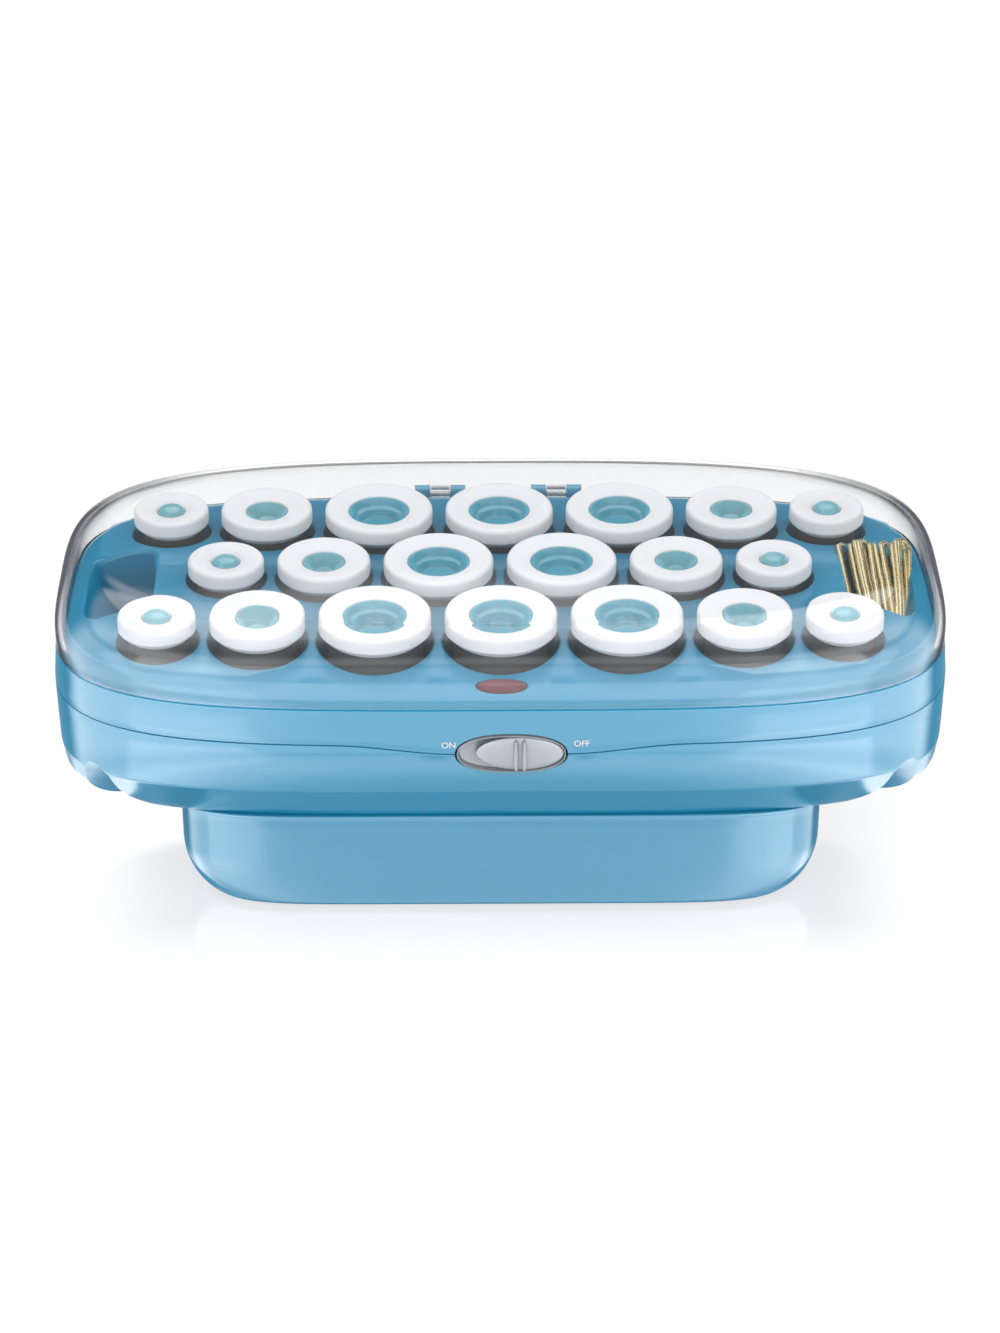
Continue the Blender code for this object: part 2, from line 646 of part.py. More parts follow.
def switch(root, tray_mat, slider_mat, body_mat):
    """Oval tray in the front wall, the slider in it, and the switch body behind."""
    face = -HALF_DEPTH
    floor = face + SWITCH_RECESS
    block = loops_mesh("switch_tray", switch_oval(0.0, face, face + TRAY_DEPTH))
    tray = place("switch_tray", block, tray_mat, root)
    recess = loops_mesh("tray_cut", switch_oval(-SWITCH_RIM, face - SWITCH_RECESS, floor))
    boolean(tray, "DIFFERENCE", guide("tray_cut", recess, root))

    travel = SWITCH_LENGTH / 2 - SWITCH_RIM - CLEAR - SLIDER_LENGTH / 2
    seat = SWITCH + Vector((travel, 0, 0))
    axis = pivot("switch_axis", root, seat)
    plate = []
    for inset, y in ((0.0, SWITCH_RECESS - CLEAR), (0.0, SLIDER_BEVEL - CLEAR), (SLIDER_BEVEL, -CLEAR)):
        half_length = SLIDER_LENGTH / 2 - inset
        half_height = SLIDER_HEIGHT / 2 - inset
        oval = outline(half_length, half_height, SWITCH_POWER, 0, even_angles(FACETS["oval"]))
        plate.append([Vector((p.x, y, p.y)) for p in oval])
    slider = place("switch_slider", loops_mesh("switch_slider", plate), slider_mat, axis)
    bm = bmesh.new()
    half = SLIDER_HEIGHT / 2 - 2 * SWITCH_RIM
    add_box(bm, (-SLIDER_RIB / 2, -CLEAR - SLIDER_RIB_RISE, -half), (SLIDER_RIB / 2, CLEAR, half))
    rib = guide("slider_rib", finished_mesh("slider_rib", bm), axis)
    boolean(slider, "UNION", rib)

    bm = bmesh.new()
    back = face + TRAY_DEPTH + CLEAR
    half_length = SWITCH_LENGTH / 2 - SLIDER_HEIGHT / 2
    add_box(bm, (SWITCH.x - half_length, back, SWITCH.z - SLIDER_HEIGHT / 2),
            (SWITCH.x + half_length, back + SWITCH_BODY_DEPTH, SWITCH.z + SLIDER_HEIGHT / 2))
    place("switch_body", finished_mesh("switch_body", bm), body_mat, root)


def indicator(root, lens_mat, lamp_mat):
    """Oval lens let into the lip, and its lamp below."""
    dome = [(1.0, -LENS_STEM), (1.0, 0.0)] + [(cos(t), LENS_RISE * sin(t)) for t in DOME_TURNS]
    tilt = (LENS_TILT, 0, 0)
    lens = loops_mesh("indicator_lens", lens_loops(0.0, dome))
    place("indicator_lens", lens, lens_mat, root, lens_place(), tilt)
    top = -LENS_STEM - CLEAR
    radius = LAMP_DIAMETER / 2
    lamp = round_loops([(radius, top - LAMP_HEIGHT), (radius, top)], FACETS["round"])
    place("indicator_lamp", loops_mesh("indicator_lamp", lamp), lamp_mat, root, lens_place(), tilt)


def cord_gland(root, mat):
    """Bushing in the rear wall, open for the cord."""
    body = GLAND_DIAMETER / 2
    bore = GLAND_BORE / 2
    profile = [(bore, -2 * SHELL_WALL), (body, -2 * SHELL_WALL), (body, 2 * CLEAR),
               (body + GLAND_FLANGE, 2 * CLEAR), (body + GLAND_FLANGE, 2 * CLEAR + GLAND_LIP),
               (bore, 2 * CLEAR + GLAND_LIP)]
    gland = loops_mesh("cord_gland", round_loops(profile, FACETS["round"]), closed=True)
    place("cord_gland", gland, mat, root, gland_place(), (-pi / 2, 0, 0))


def barrel_mesh(size):
    """Barrel with its post bore; its core shows through the ring as a cup, or a dome when small."""
    spec = SIZES[size]
    radius = spec["barrel"]
    neck = spec["core"] - CLEAR
    bore = POST_DIAMETER / 2 + POST_FIT
    shoulder = ROLLER_LENGTH - RING_HEIGHT - CLEAR
    rim = ROLLER_LENGTH - CORE_RECESS
    profile = [(bore, POST_HEIGHT + POST_FIT), (bore, 0), (radius, 0), (radius, shoulder)]
    profile += [(neck, shoulder), (neck, rim)]
    if spec["dome"]:
        profile += [(neck * cos(t), rim + DOME_RISE * sin(t)) for t in DOME_TURNS]
    else:
        profile.append((neck * CUP_TAPER, rim - CUP_DEPTH))
    return loops_mesh(f"{size}_barrel", round_loops(profile, spec["points"]))


def ring_mesh(size):
    """White end ring: a rounded flange over a collar that tapers to the barrel."""
    spec = SIZES[size]
    radius = spec["barrel"] + RING_OVERHANG
    top = ROLLER_LENGTH
    profile = [(spec["core"], top - RING_HEIGHT), (spec["barrel"], top - RING_HEIGHT)]
    profile += [(radius, top - RING_FLANGE), (radius, top - RING_EDGE)]
    profile += [(radius - RING_EDGE, top), (spec["core"], top)]
    return loops_mesh(f"{size}_ring", round_loops(profile, spec["points"]), closed=True)


def rollers(root, barrel_mat, ring_mat):
    """Twenty rollers, each on a lift axis at its post."""
    barrels = {size: barrel_mesh(size) for size in SIZES}
    rings = {size: ring_mesh(size) for size in SIZES}
    for number, (x, y, size) in enumerate(ROLLERS, 1):
        axis = pivot(f"roller_{number:02d}_axis", root, (x, y, ROLLER_SEAT))
        place(f"roller_{number:02d}_barrel", barrels[size], barrel_mat, axis)
        place(f"roller_{number:02d}_ring", rings[size], ring_mat, axis)


for old in list(bpy.data.objects):
    bpy.data.objects.remove(old)

set_root = pivot("set_root", None, (0, PLAN_SHIFT, 0))
lower_housing(set_root, material("lower_housing_plastic", "#6DACC8", 0.25))
upper_housing(set_root, material("upper_housing_plastic", "#77B2CD", 0.2))
pedestal(set_root, material("pedestal_plastic", "#5FA8CB", 0.25))
feet(set_root, material("foot_rubber", "#1C1D20", 0.8))
lid(set_root, material("lid_clear_plastic", "#F4F7F8", 0.03, clear=1.0))
hinge_rod(set_root, material("hinge_rod_steel", "#B9BDC0", 0.3, metallic=1.0))
heating_plate(set_root, material("heating_plate_metal", "#2A2C2E", 0.5, metallic=1.0))
heater(
    set_root,
    material("heating_element_ceramic", "#C9C4B8", 0.7),
    material("thermostat_metal", "#9A9C9E", 0.4, metallic=1.0),
)
switch(
    set_root,
    material("switch_tray_plastic", "#6B7278", 0.4),
    material("switch_slider_plastic", "#C0C5C9", 0.3),
    material("switch_body_plastic", "#202225", 0.6),
)
indicator(
    set_root,
    material("indicator_lens_plastic", "#8E2A33", 0.15),
    material("indicator_lamp_glass", "#D9A36B", 0.1),
)
cord_gland(set_root, material("cord_gland_rubber", "#1C1D20", 0.7))
rollers(
    set_root,
    material("roller_barrel_plastic", "#5E6669", 0.6),
    material("roller_ring_plastic", "#F0F3F8", 0.35),
)
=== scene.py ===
from math import atan2, cos, pi, radians, sin, sqrt, tan

import bmesh
import bpy
import numpy as np
from mathutils import Matrix, Vector


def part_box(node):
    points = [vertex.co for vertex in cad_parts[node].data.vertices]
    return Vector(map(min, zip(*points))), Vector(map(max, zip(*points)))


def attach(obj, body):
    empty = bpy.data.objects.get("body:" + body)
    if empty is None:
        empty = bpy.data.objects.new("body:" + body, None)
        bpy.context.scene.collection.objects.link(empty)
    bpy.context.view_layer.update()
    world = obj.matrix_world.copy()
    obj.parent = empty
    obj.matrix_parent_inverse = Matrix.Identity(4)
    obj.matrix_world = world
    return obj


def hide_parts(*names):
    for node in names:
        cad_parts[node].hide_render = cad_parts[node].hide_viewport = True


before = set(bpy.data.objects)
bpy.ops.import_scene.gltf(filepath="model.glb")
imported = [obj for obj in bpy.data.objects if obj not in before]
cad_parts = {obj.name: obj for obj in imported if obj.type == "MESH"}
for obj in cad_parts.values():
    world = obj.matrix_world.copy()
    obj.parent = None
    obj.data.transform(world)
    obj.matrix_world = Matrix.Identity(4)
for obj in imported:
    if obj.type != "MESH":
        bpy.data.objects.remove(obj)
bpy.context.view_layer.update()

# Camera and studio: the set stands on a white table, seen from thirty degrees up through a long lens.
# One softbox hangs above and behind it, and one stands at each side of the camera.
# The rest of the studio shows only where the plastic mirrors it.
MM = 0.001
CAMERA_PLACE = (-11.1, -1292.3, 815.8)
CAMERA_TARGET = (0.0, -2.25, 71.0)
CAMERA_LENS = 105.3
CAMERA_SENSOR = 36.0
# name, place, the point it faces, width and height, all in metres, and radiance
STUDIO_LAMPS = [
    ("top_softbox", (0.0, 0.8, 1.6), (0.0, 0.1, 0.0), 1.6, 1.4, 1.1),
    ("left_softbox", (-0.85, -1.25, 0.85), (0.0, 0.0, 0.05), 1.0, 0.7, 1.5),
    ("right_softbox", (0.85, -1.25, 0.85), (0.0, 0.0, 0.05), 1.0, 0.7, 1.8),
]


def linear(code):
    """Linear colour of an sRGB hex code."""
    parts = [int(code[i:i + 2], 16) / 255 for i in (1, 3, 5)]
    return [c / 12.92 if c <= 0.04045 else ((c + 0.055) / 1.055) ** 2.4 for c in parts] + [1.0]


def add_node(tree, kind, inputs=(), **settings):
    """A node with its settings, each named input given a value or another node's output."""
    made = tree.nodes.new(kind)
    for name, value in settings.items():
        setattr(made, name, value)
    for name, value in dict(inputs).items():
        if isinstance(value, bpy.types.NodeSocket):
            tree.links.new(value, made.inputs[name])
        else:
            made.inputs[name].default_value = value
    return made


def finish(name, sockets):
    """A material with these sockets set on its shader, and its tree and shader for more."""
    material = bpy.data.materials.new(name)
    material.use_nodes = True
    shader = material.node_tree.nodes["Principled BSDF"]
    for socket, value in sockets.items():
        shader.inputs[socket].default_value = value
    return material, material.node_tree, shader


scene = bpy.context.scene
scene.view_settings.view_transform = "Standard"
target = Vector(CAMERA_TARGET) * MM
camera = bpy.data.objects.new("camera", bpy.data.cameras.new("camera"))
camera.data.sensor_width = CAMERA_SENSOR
camera.data.lens = CAMERA_LENS
camera.location = Vector(CAMERA_PLACE) * MM
camera.rotation_euler = (target - camera.location).to_track_quat("-Z", "Y").to_euler()
scene.collection.objects.link(camera)
scene.camera = camera

for name, place, faced, width, height, radiance in STUDIO_LAMPS:
    lamp = bpy.data.lights.new(name, "AREA")
    lamp.shape = "RECTANGLE"
    lamp.size = width
    lamp.size_y = height
    lamp.energy = radiance * pi * width * height
    holder = bpy.data.objects.new(name, lamp)
    holder.location = place
    holder.rotation_euler = (Vector(faced) - Vector(place)).to_track_quat("-Z", "Y").to_euler()
    scene.collection.objects.link(holder)

studio = bpy.data.worlds.new("studio")
studio.use_nodes = True
scene.world = studio
tree = studio.node_tree
rays = add_node(tree, "ShaderNodeLightPath")
direction = add_node(tree, "ShaderNodeTexCoord")
toward = add_node(tree, "ShaderNodeSeparateXYZ", {0: direction.outputs["Generated"]})
aside = add_node(tree, "ShaderNodeMath", {0: toward.outputs["X"]}, operation="ABSOLUTE")
sideways = add_node(tree, "ShaderNodeMath", {0: toward.outputs["X"], 1: toward.outputs["Y"]},
                    operation="DIVIDE")
studio_axes = {"aside": aside.outputs[0], "sideways": sideways.outputs[0], "back": toward.outputs["Y"],
               "up": toward.outputs["Z"]}

# Mirrored in the plastic: a wall round the front, banded in height and brightest to the left and right,
# a white backdrop low behind between two dark flags, a soft window up behind, whose haze lies across the
# front row, and a ceiling that is brighter to the sides and dim towards the front.
SEEN_LEVEL = 1.0
SOFT_LEVEL = 0.5
LEVEL_UNDER_LID = 0.12


def aloft(degrees):
    """Upward part of a direction this many degrees above the table."""
    return sin(radians(degrees))


# Each light is a product of smooth steps: axis, where the step starts and ends, level before and after it.
studio_lights = {
    "walls": [("aside", 0.0, 0.5, 2.3, 4.1), ("back", 0.1, 0.5, 1.0, 0.0),
              ("up", aloft(30), aloft(36), 1.1, 0.72), ("up", aloft(39), aloft(43), 1.0, 1.45),
              ("up", aloft(48), aloft(60), 1.0, 0.3)],
    "backdrop": [("back", 0.1, 0.5, 0.0, 1.0), ("aside", 0.18, 0.3, 1.0, 0.05),
                 ("up", aloft(14), aloft(22), 1.0, 0.35)],
    "window": [("back", 0.0, 0.2, 0.0, 2.1), ("up", aloft(31), aloft(35), 0.0, 1.0),
               ("up", aloft(36), aloft(42), 1.0, 0.0), ("sideways", -0.34, -0.22, 0.0, 1.0),
               ("sideways", 0.0, 0.14, 1.0, 0.0)],
    "ceiling": [("up", aloft(35), aloft(42), 0.0, 1.0), ("aside", 0.0, 0.15, 1.0, 1.8),
                ("back", -0.3, 0.1, 0.2, 1.0)],
}
mirrored = 0.0
for steps in studio_lights.values():
    light = 1.0
    for axis, start, end, before, after in steps:
        step = add_node(tree, "ShaderNodeMapRange", {
            "Value": studio_axes[axis], "From Min": start, "From Max": end, "To Min": before,
            "To Max": after}, interpolation_type="SMOOTHSTEP")
        product = add_node(tree, "ShaderNodeMath", {0: light, 1: step.outputs[0]}, operation="MULTIPLY")
        light = product.outputs[0]
    mirrored = add_node(tree, "ShaderNodeMath", {0: mirrored, 1: light}, operation="ADD").outputs[0]
through = add_node(tree, "ShaderNodeMix", {0: rays.outputs["Is Transmission Ray"], 2: mirrored,
                                           3: LEVEL_UNDER_LID})
soft = add_node(tree, "ShaderNodeMath", {0: rays.outputs["Diffuse Depth"], 1: 0.5}, operation="GREATER_THAN")
soft = add_node(tree, "ShaderNodeMix", {0: soft.outputs[0], 2: through.outputs[0], 3: SOFT_LEVEL})
level = add_node(tree, "ShaderNodeMix", {0: rays.outputs["Is Camera Ray"], 2: soft.outputs[0],
                                         3: SEEN_LEVEL})
tree.links.new(level.outputs[0], tree.nodes["Background"].inputs["Strength"])
tree.nodes["Background"].inputs["Color"].default_value = linear("#FFFFFF")

# White lacquered table top: what is seen of it shines white by itself and keeps a soft shadow.
# Close to the pedestal it mirrors a quarter of what stands on it, and the mirror fades with distance.
# Where the plastic mirrors the table it is nearly all polish, so the studio's walls come up from it too.
MIRROR_SHARE = 0.25
MIRROR_REACH = 0.04
POLISH_SHARE = 0.88
POLISH_BLUR = 0.12
SHINE_SEEN = 0.92
SHINE_UNDER_LID = 1.08
FOOTPRINT = (0.121, 0.064, 0.0)
TABLE_REACH = 6.0
table_white, tree, shader = finish("white_lacquered_board", {
    "Roughness": 0.6, "Specular IOR Level": 0.0, "Emission Color": linear("#FFFFFF")})
rays = add_node(tree, "ShaderNodeLightPath")
seen = add_node(tree, "ShaderNodeMath", {0: rays.outputs["Is Camera Ray"],
                                         1: rays.outputs["Is Transmission Ray"]}, operation="MAXIMUM")
seen = add_node(tree, "ShaderNodeMath", {0: seen.outputs[0], 1: rays.outputs["Is Glossy Ray"]},
                operation="MAXIMUM")
shine = add_node(tree, "ShaderNodeMix", {0: rays.outputs["Is Transmission Ray"], 2: SHINE_SEEN,
                                         3: SHINE_UNDER_LID})
glow = add_node(tree, "ShaderNodeMath", {0: seen.outputs[0], 1: shine.outputs[0]}, operation="MULTIPLY")
board = add_node(tree, "ShaderNodeMix", {0: seen.outputs[0], 6: linear("#E6E6E6"), 7: linear("#6A6A6A")},
                 data_type="RGBA")
tree.links.new(board.outputs[2], shader.inputs["Base Color"])
tree.links.new(glow.outputs[0], shader.inputs["Emission Strength"])
spot = add_node(tree, "ShaderNodeTexCoord")
folded = add_node(tree, "ShaderNodeVectorMath", {0: spot.outputs["Object"]}, operation="ABSOLUTE")
beyond = add_node(tree, "ShaderNodeVectorMath", {0: folded.outputs[0], 1: FOOTPRINT}, operation="SUBTRACT")
beyond = add_node(tree, "ShaderNodeVectorMath", {0: beyond.outputs[0], 1: (0.0, 0.0, 0.0)},
                  operation="MAXIMUM")
distance = add_node(tree, "ShaderNodeVectorMath", {0: beyond.outputs[0]}, operation="LENGTH")
fade = add_node(tree, "ShaderNodeMapRange", {"Value": distance.outputs["Value"], "From Max": MIRROR_REACH,
                                             "To Min": MIRROR_SHARE, "To Max": 0.0},
                interpolation_type="SMOOTHSTEP")
glossed = add_node(tree, "ShaderNodeMath", {0: rays.outputs["Is Glossy Ray"],
                                            1: rays.outputs["Is Reflection Ray"]}, operation="MULTIPLY")
polish = add_node(tree, "ShaderNodeMix", {0: glossed.outputs[0], 2: fade.outputs[0], 3: POLISH_SHARE})
gloss = add_node(tree, "ShaderNodeBsdfGlossy", {"Color": linear("#FFFFFF"), "Roughness": POLISH_BLUR})
mirror = add_node(tree, "ShaderNodeMixShader", {0: polish.outputs[0], 1: shader.outputs[0],
                                                2: gloss.outputs[0]})
tree.links.new(mirror.outputs[0], tree.nodes["Material Output"].inputs["Surface"])

table_mesh = bpy.data.meshes.new("table")
table_corners = ((-1, -1), (1, -1), (1, 1), (-1, 1))
table_mesh.from_pydata([(x * TABLE_REACH, y * TABLE_REACH, 0) for x, y in table_corners], [], [(0, 1, 2, 3)])
table_mesh.materials.append(table_white)
table = bpy.data.objects.new("table", table_mesh)
scene.collection.objects.link(table)

# Feet: four black rubber pads pressed into the underside of the pedestal.
# Each is a small moulded disc with a softened lower edge, and they keep the set from sliding.
FOOT_STEPS = 40
FOOT_ROUND = 0.5
WELD = 0.002
FILLET_LIMIT = 0.49


def settled(obj):
    """The object with its modifiers worked into its mesh."""
    graph = bpy.context.evaluated_depsgraph_get()
    mesh = bpy.data.meshes.new_from_object(obj.evaluated_get(graph), depsgraph=graph)
    obj.modifiers.clear()
    obj.data = mesh
    mesh.name = obj.name
    return obj


def smoothed(obj, sharp=32):
    """Faces turned outwards, rounded stretches smooth, and edges past the angle crisp."""
    work = bmesh.new()
    work.from_mesh(obj.data)
    bmesh.ops.recalc_face_normals(work, faces=work.faces)
    work.to_mesh(obj.data)
    work.free()
    obj.data.shade_smooth()
    obj.data.set_sharp_from_angle(angle=radians(sharp))
    return obj


def filleted(corners, steps=5):
    """Points of a profile through corners (radius, height, rounding)."""
    points = []
    for i, (r, z, bend) in enumerate(corners):
        here = Vector((r, z))
        if not bend:
            points.append(here)
            continue
        back = Vector(corners[i - 1][:2]) - here
        ahead = Vector(corners[i + 1][:2]) - here
        half = back.angle(ahead) / 2
        reach = min(bend / tan(half), FILLET_LIMIT * back.length, FILLET_LIMIT * ahead.length)
        bend = reach * tan(half)
        centre = here + (back.normalized() + ahead.normalized()).normalized() * (bend / sin(half))
        start = here + back.normalized() * reach - centre
        end = here + ahead.normalized() * reach - centre
        first = atan2(start.y, start.x)
        turn = (atan2(end.y, end.x) - first + pi) % (2 * pi) - pi
        for k in range(steps + 1):
            t = first + turn * k / steps
            points.append(centre + bend * Vector((cos(t), sin(t))))
    return points


# Tree of every round piece: a profile is turned about an upright axis and set down at its place.
turning = bpy.data.node_groups.new("turned_piece", "GeometryNodeTree")
for socket, kind in (("Profile", "NodeSocketGeometry"), ("Steps", "NodeSocketInt"),
                     ("Place", "NodeSocketVector"), ("Material", "NodeSocketMaterial")):
    turning.interface.new_socket(socket, in_out="INPUT", socket_type=kind)
turning.interface.new_socket("Piece", in_out="OUTPUT", socket_type="NodeSocketGeometry")
given = add_node(turning, "NodeGroupInput")
rows = add_node(turning, "GeometryNodeAttributeDomainSize", {"Geometry": given.outputs["Profile"]})
columns = add_node(turning, "ShaderNodeMath", {0: given.outputs["Steps"], 1: 1.0}, operation="ADD")
skin = add_node(turning, "GeometryNodeMeshGrid", {"Vertices X": rows.outputs["Point Count"],
                                                  "Vertices Y": columns.outputs[0]})
count = add_node(turning, "GeometryNodeInputIndex")
row = add_node(turning, "ShaderNodeMath", {0: count.outputs[0], 1: columns.outputs[0]}, operation="DIVIDE")
row = add_node(turning, "ShaderNodeMath", {0: row.outputs[0]}, operation="FLOOR")
column = add_node(turning, "ShaderNodeMath", {0: count.outputs[0], 1: columns.outputs[0]},
                  operation="MODULO")
profile_point = add_node(turning, "GeometryNodeInputPosition")
corner = add_node(turning, "GeometryNodeSampleIndex", {
    "Geometry": given.outputs["Profile"], "Value": profile_point.outputs[0], "Index": row.outputs[0]},
    data_type="FLOAT_VECTOR", domain="POINT")
share = add_node(turning, "ShaderNodeMath", {0: column.outputs[0], 1: given.outputs["Steps"]},
                 operation="DIVIDE")
angle = add_node(turning, "ShaderNodeMath", {0: share.outputs[0], 1: 2 * pi}, operation="MULTIPLY")
spin = add_node(turning, "ShaderNodeVectorRotate", {"Vector": corner.outputs["Value"],
                                                    "Angle": angle.outputs[0]}, rotation_type="Z_AXIS")
turned_skin = add_node(turning, "GeometryNodeSetPosition", {"Geometry": skin.outputs["Mesh"],
                                                            "Position": spin.outputs[0]})
closed = add_node(turning, "GeometryNodeMergeByDistance", {"Geometry": turned_skin.outputs[0],
                                                           "Distance": WELD * MM})
spot = add_node(turning, "GeometryNodePoints", {"Count": 1, "Position": given.outputs["Place"]})
stood = add_node(turning, "GeometryNodeInstanceOnPoints", {"Points": spot.outputs[0],
                                                           "Instance": closed.outputs[0]})
real = add_node(turning, "GeometryNodeRealizeInstances", {"Geometry": stood.outputs[0]})
coated = add_node(turning, "GeometryNodeSetMaterial", {"Geometry": real.outputs[0],
                                                       "Material": given.outputs["Material"]})
add_node(turning, "NodeGroupOutput", {0: coated.outputs[0]})


def grown(name, source, tree, values):
    """A plain mesh object, made by a tree from a source mesh and its named inputs."""
    obj = bpy.data.objects.new(name, source)
    scene.collection.objects.link(obj)
    modifier = obj.modifiers.new(tree.name, "NODES")
    modifier.node_group = tree
    for item in tree.interface.items_tree:
        if item.name in values:
            modifier[item.identifier] = values[item.name]
    return settled(obj)


# from the frame's origin to the middle of the set's plan, front to back
PLAN_SHIFT = -2.25


def turned(name, profile, place, steps, material):
    """A round piece from its profile and place, both in millimetres of the set's plan."""
    line = bpy.data.meshes.new(name)
    line.from_pydata([(p[0] * MM, 0, p[1] * MM) for p in profile],
                     [(i, i + 1) for i in range(len(profile) - 1)], [])
    at = (place[0] * MM, (place[1] + PLAN_SHIFT) * MM, place[2] * MM)
    made = grown(name, line, turning, {"Steps": steps, "Place": at, "Material": material})
    return smoothed(made)


BUMP_DEPTH = 0.05


def grained(name, sockets, grain, tints=(), sheen=(), relief=0.0, detail=2.0):
    """A finish with a grain this many millimetres wide, which varies its tint, roughness or relief."""
    material, tree, shader = finish(name, sockets)
    spot = add_node(tree, "ShaderNodeTexCoord")
    speckle = add_node(tree, "ShaderNodeTexNoise", {"Vector": spot.outputs["Object"],
                                                    "Scale": 1 / (grain * MM), "Detail": detail})
    if tints:
        dark, light = tints
        blend = add_node(tree, "ShaderNodeMix", {0: speckle.outputs[0], 6: linear(dark), 7: linear(light)},
                         data_type="RGBA")
        tree.links.new(blend.outputs[2], shader.inputs["Base Color"])
    if sheen:
        bright, dull = sheen
        gloss = add_node(tree, "ShaderNodeMapRange", {"Value": speckle.outputs[0], "To Min": bright,
                                                      "To Max": dull})
        tree.links.new(gloss.outputs[0], shader.inputs["Roughness"])
    if relief:
        bump = add_node(tree, "ShaderNodeBump", {"Height": speckle.outputs[0], "Strength": relief,
                                                 "Distance": BUMP_DEPTH * MM})
        tree.links.new(bump.outputs[0], shader.inputs["Normal"])
    return material


# Moulded rubber: soft black, its fine spark-eroded grain spreading any shine.
GRIT = 0.4
rubber = grained("black_moulded_rubber", {"Base Color": linear("#1A1B1D"), "Roughness": 0.75}, GRIT,
                 relief=0.2)

for number in range(1, 5):
    low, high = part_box(f"foot_{number}")
    middle = (low + high) / 2 / MM
    radius = (high.x - low.x) / 2 / MM
    top = high.z / MM
    pad_profile = filleted([(0, 0, 0), (radius, 0, FOOT_ROUND), (radius, top, 0), (0, top, 0)])
    pad_place = (middle.x, middle.y - PLAN_SHIFT, 0)
    pad = turned(f"rubber_foot_{number}", pad_profile, pad_place, FOOT_STEPS, rubber)
    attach(pad, "base")
    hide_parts(f"foot_{number}")

# Pedestal: the blue foot of the set, an open-topped tub injection-moulded from the same plastic as the body.
# Its front stands nearly upright and its lower ends are rolled in a large round; the body screws down on it.
PEDESTAL_HALF_LENGTH = 121.0
PEDESTAL_HALF_DEPTH = 62.5
PEDESTAL_BOTTOM = 1.5
PEDESTAL_HEIGHT = 41.1
PEDESTAL_END_ROUND = 16.0
PEDESTAL_END_RISE = 22.0
PEDESTAL_EDGE_ROUND = 2.0
PEDESTAL_SOLE_ROUND = 1.6
PEDESTAL_LEAN = 2.5
PEDESTAL_CORNERS = 8.0
PEDESTAL_WALL_RISES = [30.0, 35.0]
END_ROUND_START = radians(26)
PEDESTAL_POINTS = 160
SHELL_WALL = 2.4


def plan_angles(half_length, half_depth, power, points):
    """Angles round a rounded oblong, shared between its straight runs and its turns."""
    dense = np.linspace(0, pi / 2, 4001)
    x = half_length * np.abs(np.cos(dense)) ** (2 / power)
    y = half_depth * np.sin(dense) ** (2 / power)
    run = np.hypot(np.diff(x), np.diff(y))
    heading = np.arctan2(np.diff(y), np.diff(x))
    turn = np.abs(np.diff(heading, prepend=pi / 2))
    shares = np.concatenate([[0], np.cumsum(run / run.sum() + turn / (pi / 2))])
    quarter = np.interp(np.linspace(0, shares[-1], points // 4 + 1), shares, dense)
    back = quarter[:0:-1]
    return np.concatenate([quarter[:-1], pi - back, pi + quarter[:-1], 2 * pi - back])


def outline(half_length, half_depth, power, z, angles, centre=(0.0, 0.0)):
    """Rounded oblong at height z, or at a height for each point."""
    x = np.sign(np.cos(angles)) * np.abs(np.cos(angles)) ** (2 / power) * half_length
    y = np.sign(np.sin(angles)) * np.abs(np.sin(angles)) ** (2 / power) * half_depth
    return np.column_stack([x + centre[0], y + centre[1], np.broadcast_to(z, len(x))])


def solid(name, points, faces):
    """An object from points in millimetres of the set's plan."""
    mesh = bpy.data.meshes.new(name)
    placed = (np.asarray(points, float) + (0, PLAN_SHIFT, 0)) * MM
    mesh.from_pydata(placed.tolist(), [], faces)
    obj = bpy.data.objects.new(name, mesh)
    scene.collection.objects.link(obj)
    return smoothed(obj)


def lofted(name, loops):
    """A skin over loops of like length, with its two ends filled."""
    size = len(loops[0])
    last = (len(loops) - 1) * size
    faces = []
    for lower in range(0, last, size):
        upper = lower + size
        for k in range(size):
            n = (k + 1) % size
            faces.append((lower + k, lower + n, upper + n, upper + k))
    faces.append(tuple(range(size)))
    faces.append(tuple(range(last, last + size)))
    return solid(name, np.concatenate(loops), faces)


def worn(obj, material):
    """The object in one material."""
    obj.data.materials.clear()
    obj.data.materials.append(material)
    return obj


def rounding(radius, distance):
    """How far a round edge draws in at a distance from its end."""
    return radius - sqrt(max(radius**2 - max(radius - distance, 0) ** 2, 0))


# Pearl plastic: clear ABS full of fine mica, moulded in a polished tool and wet-looking on top.
# The mica gives a soft metallic sheen under a sharp clear skin; it is drawn coarser than it is, to show.
MICA = 0.7
pearl = grained("pearl_blue_moulded_abs", {
    "Metallic": 0.1, "Roughness": 0.3, "Specular IOR Level": 0.0, "Coat Weight": 1.0, "Coat Roughness": 0.1,
    "Coat IOR": 1.7}, MICA, tints=("#1A88B0", "#2690B6"), detail=3.0)

pedestal_angles = plan_angles(PEDESTAL_HALF_LENGTH, PEDESTAL_HALF_DEPTH, PEDESTAL_CORNERS, PEDESTAL_POINTS)


def pedestal_section(rise, inset):
    """Pedestal outline at a rise above its sole."""
    roll = PEDESTAL_END_ROUND * rounding(1.0, rise / PEDESTAL_END_RISE)
    edge = rounding(PEDESTAL_EDGE_ROUND, PEDESTAL_HEIGHT - rise)
    sole = rounding(PEDESTAL_SOLE_ROUND, rise)
    lean = PEDESTAL_LEAN * (1 - rise / PEDESTAL_HEIGHT)
    return outline(PEDESTAL_HALF_LENGTH - roll - edge - inset,
                   PEDESTAL_HALF_DEPTH - lean - sole - edge / 2 - inset,
                   PEDESTAL_CORNERS, PEDESTAL_BOTTOM + rise, pedestal_angles)


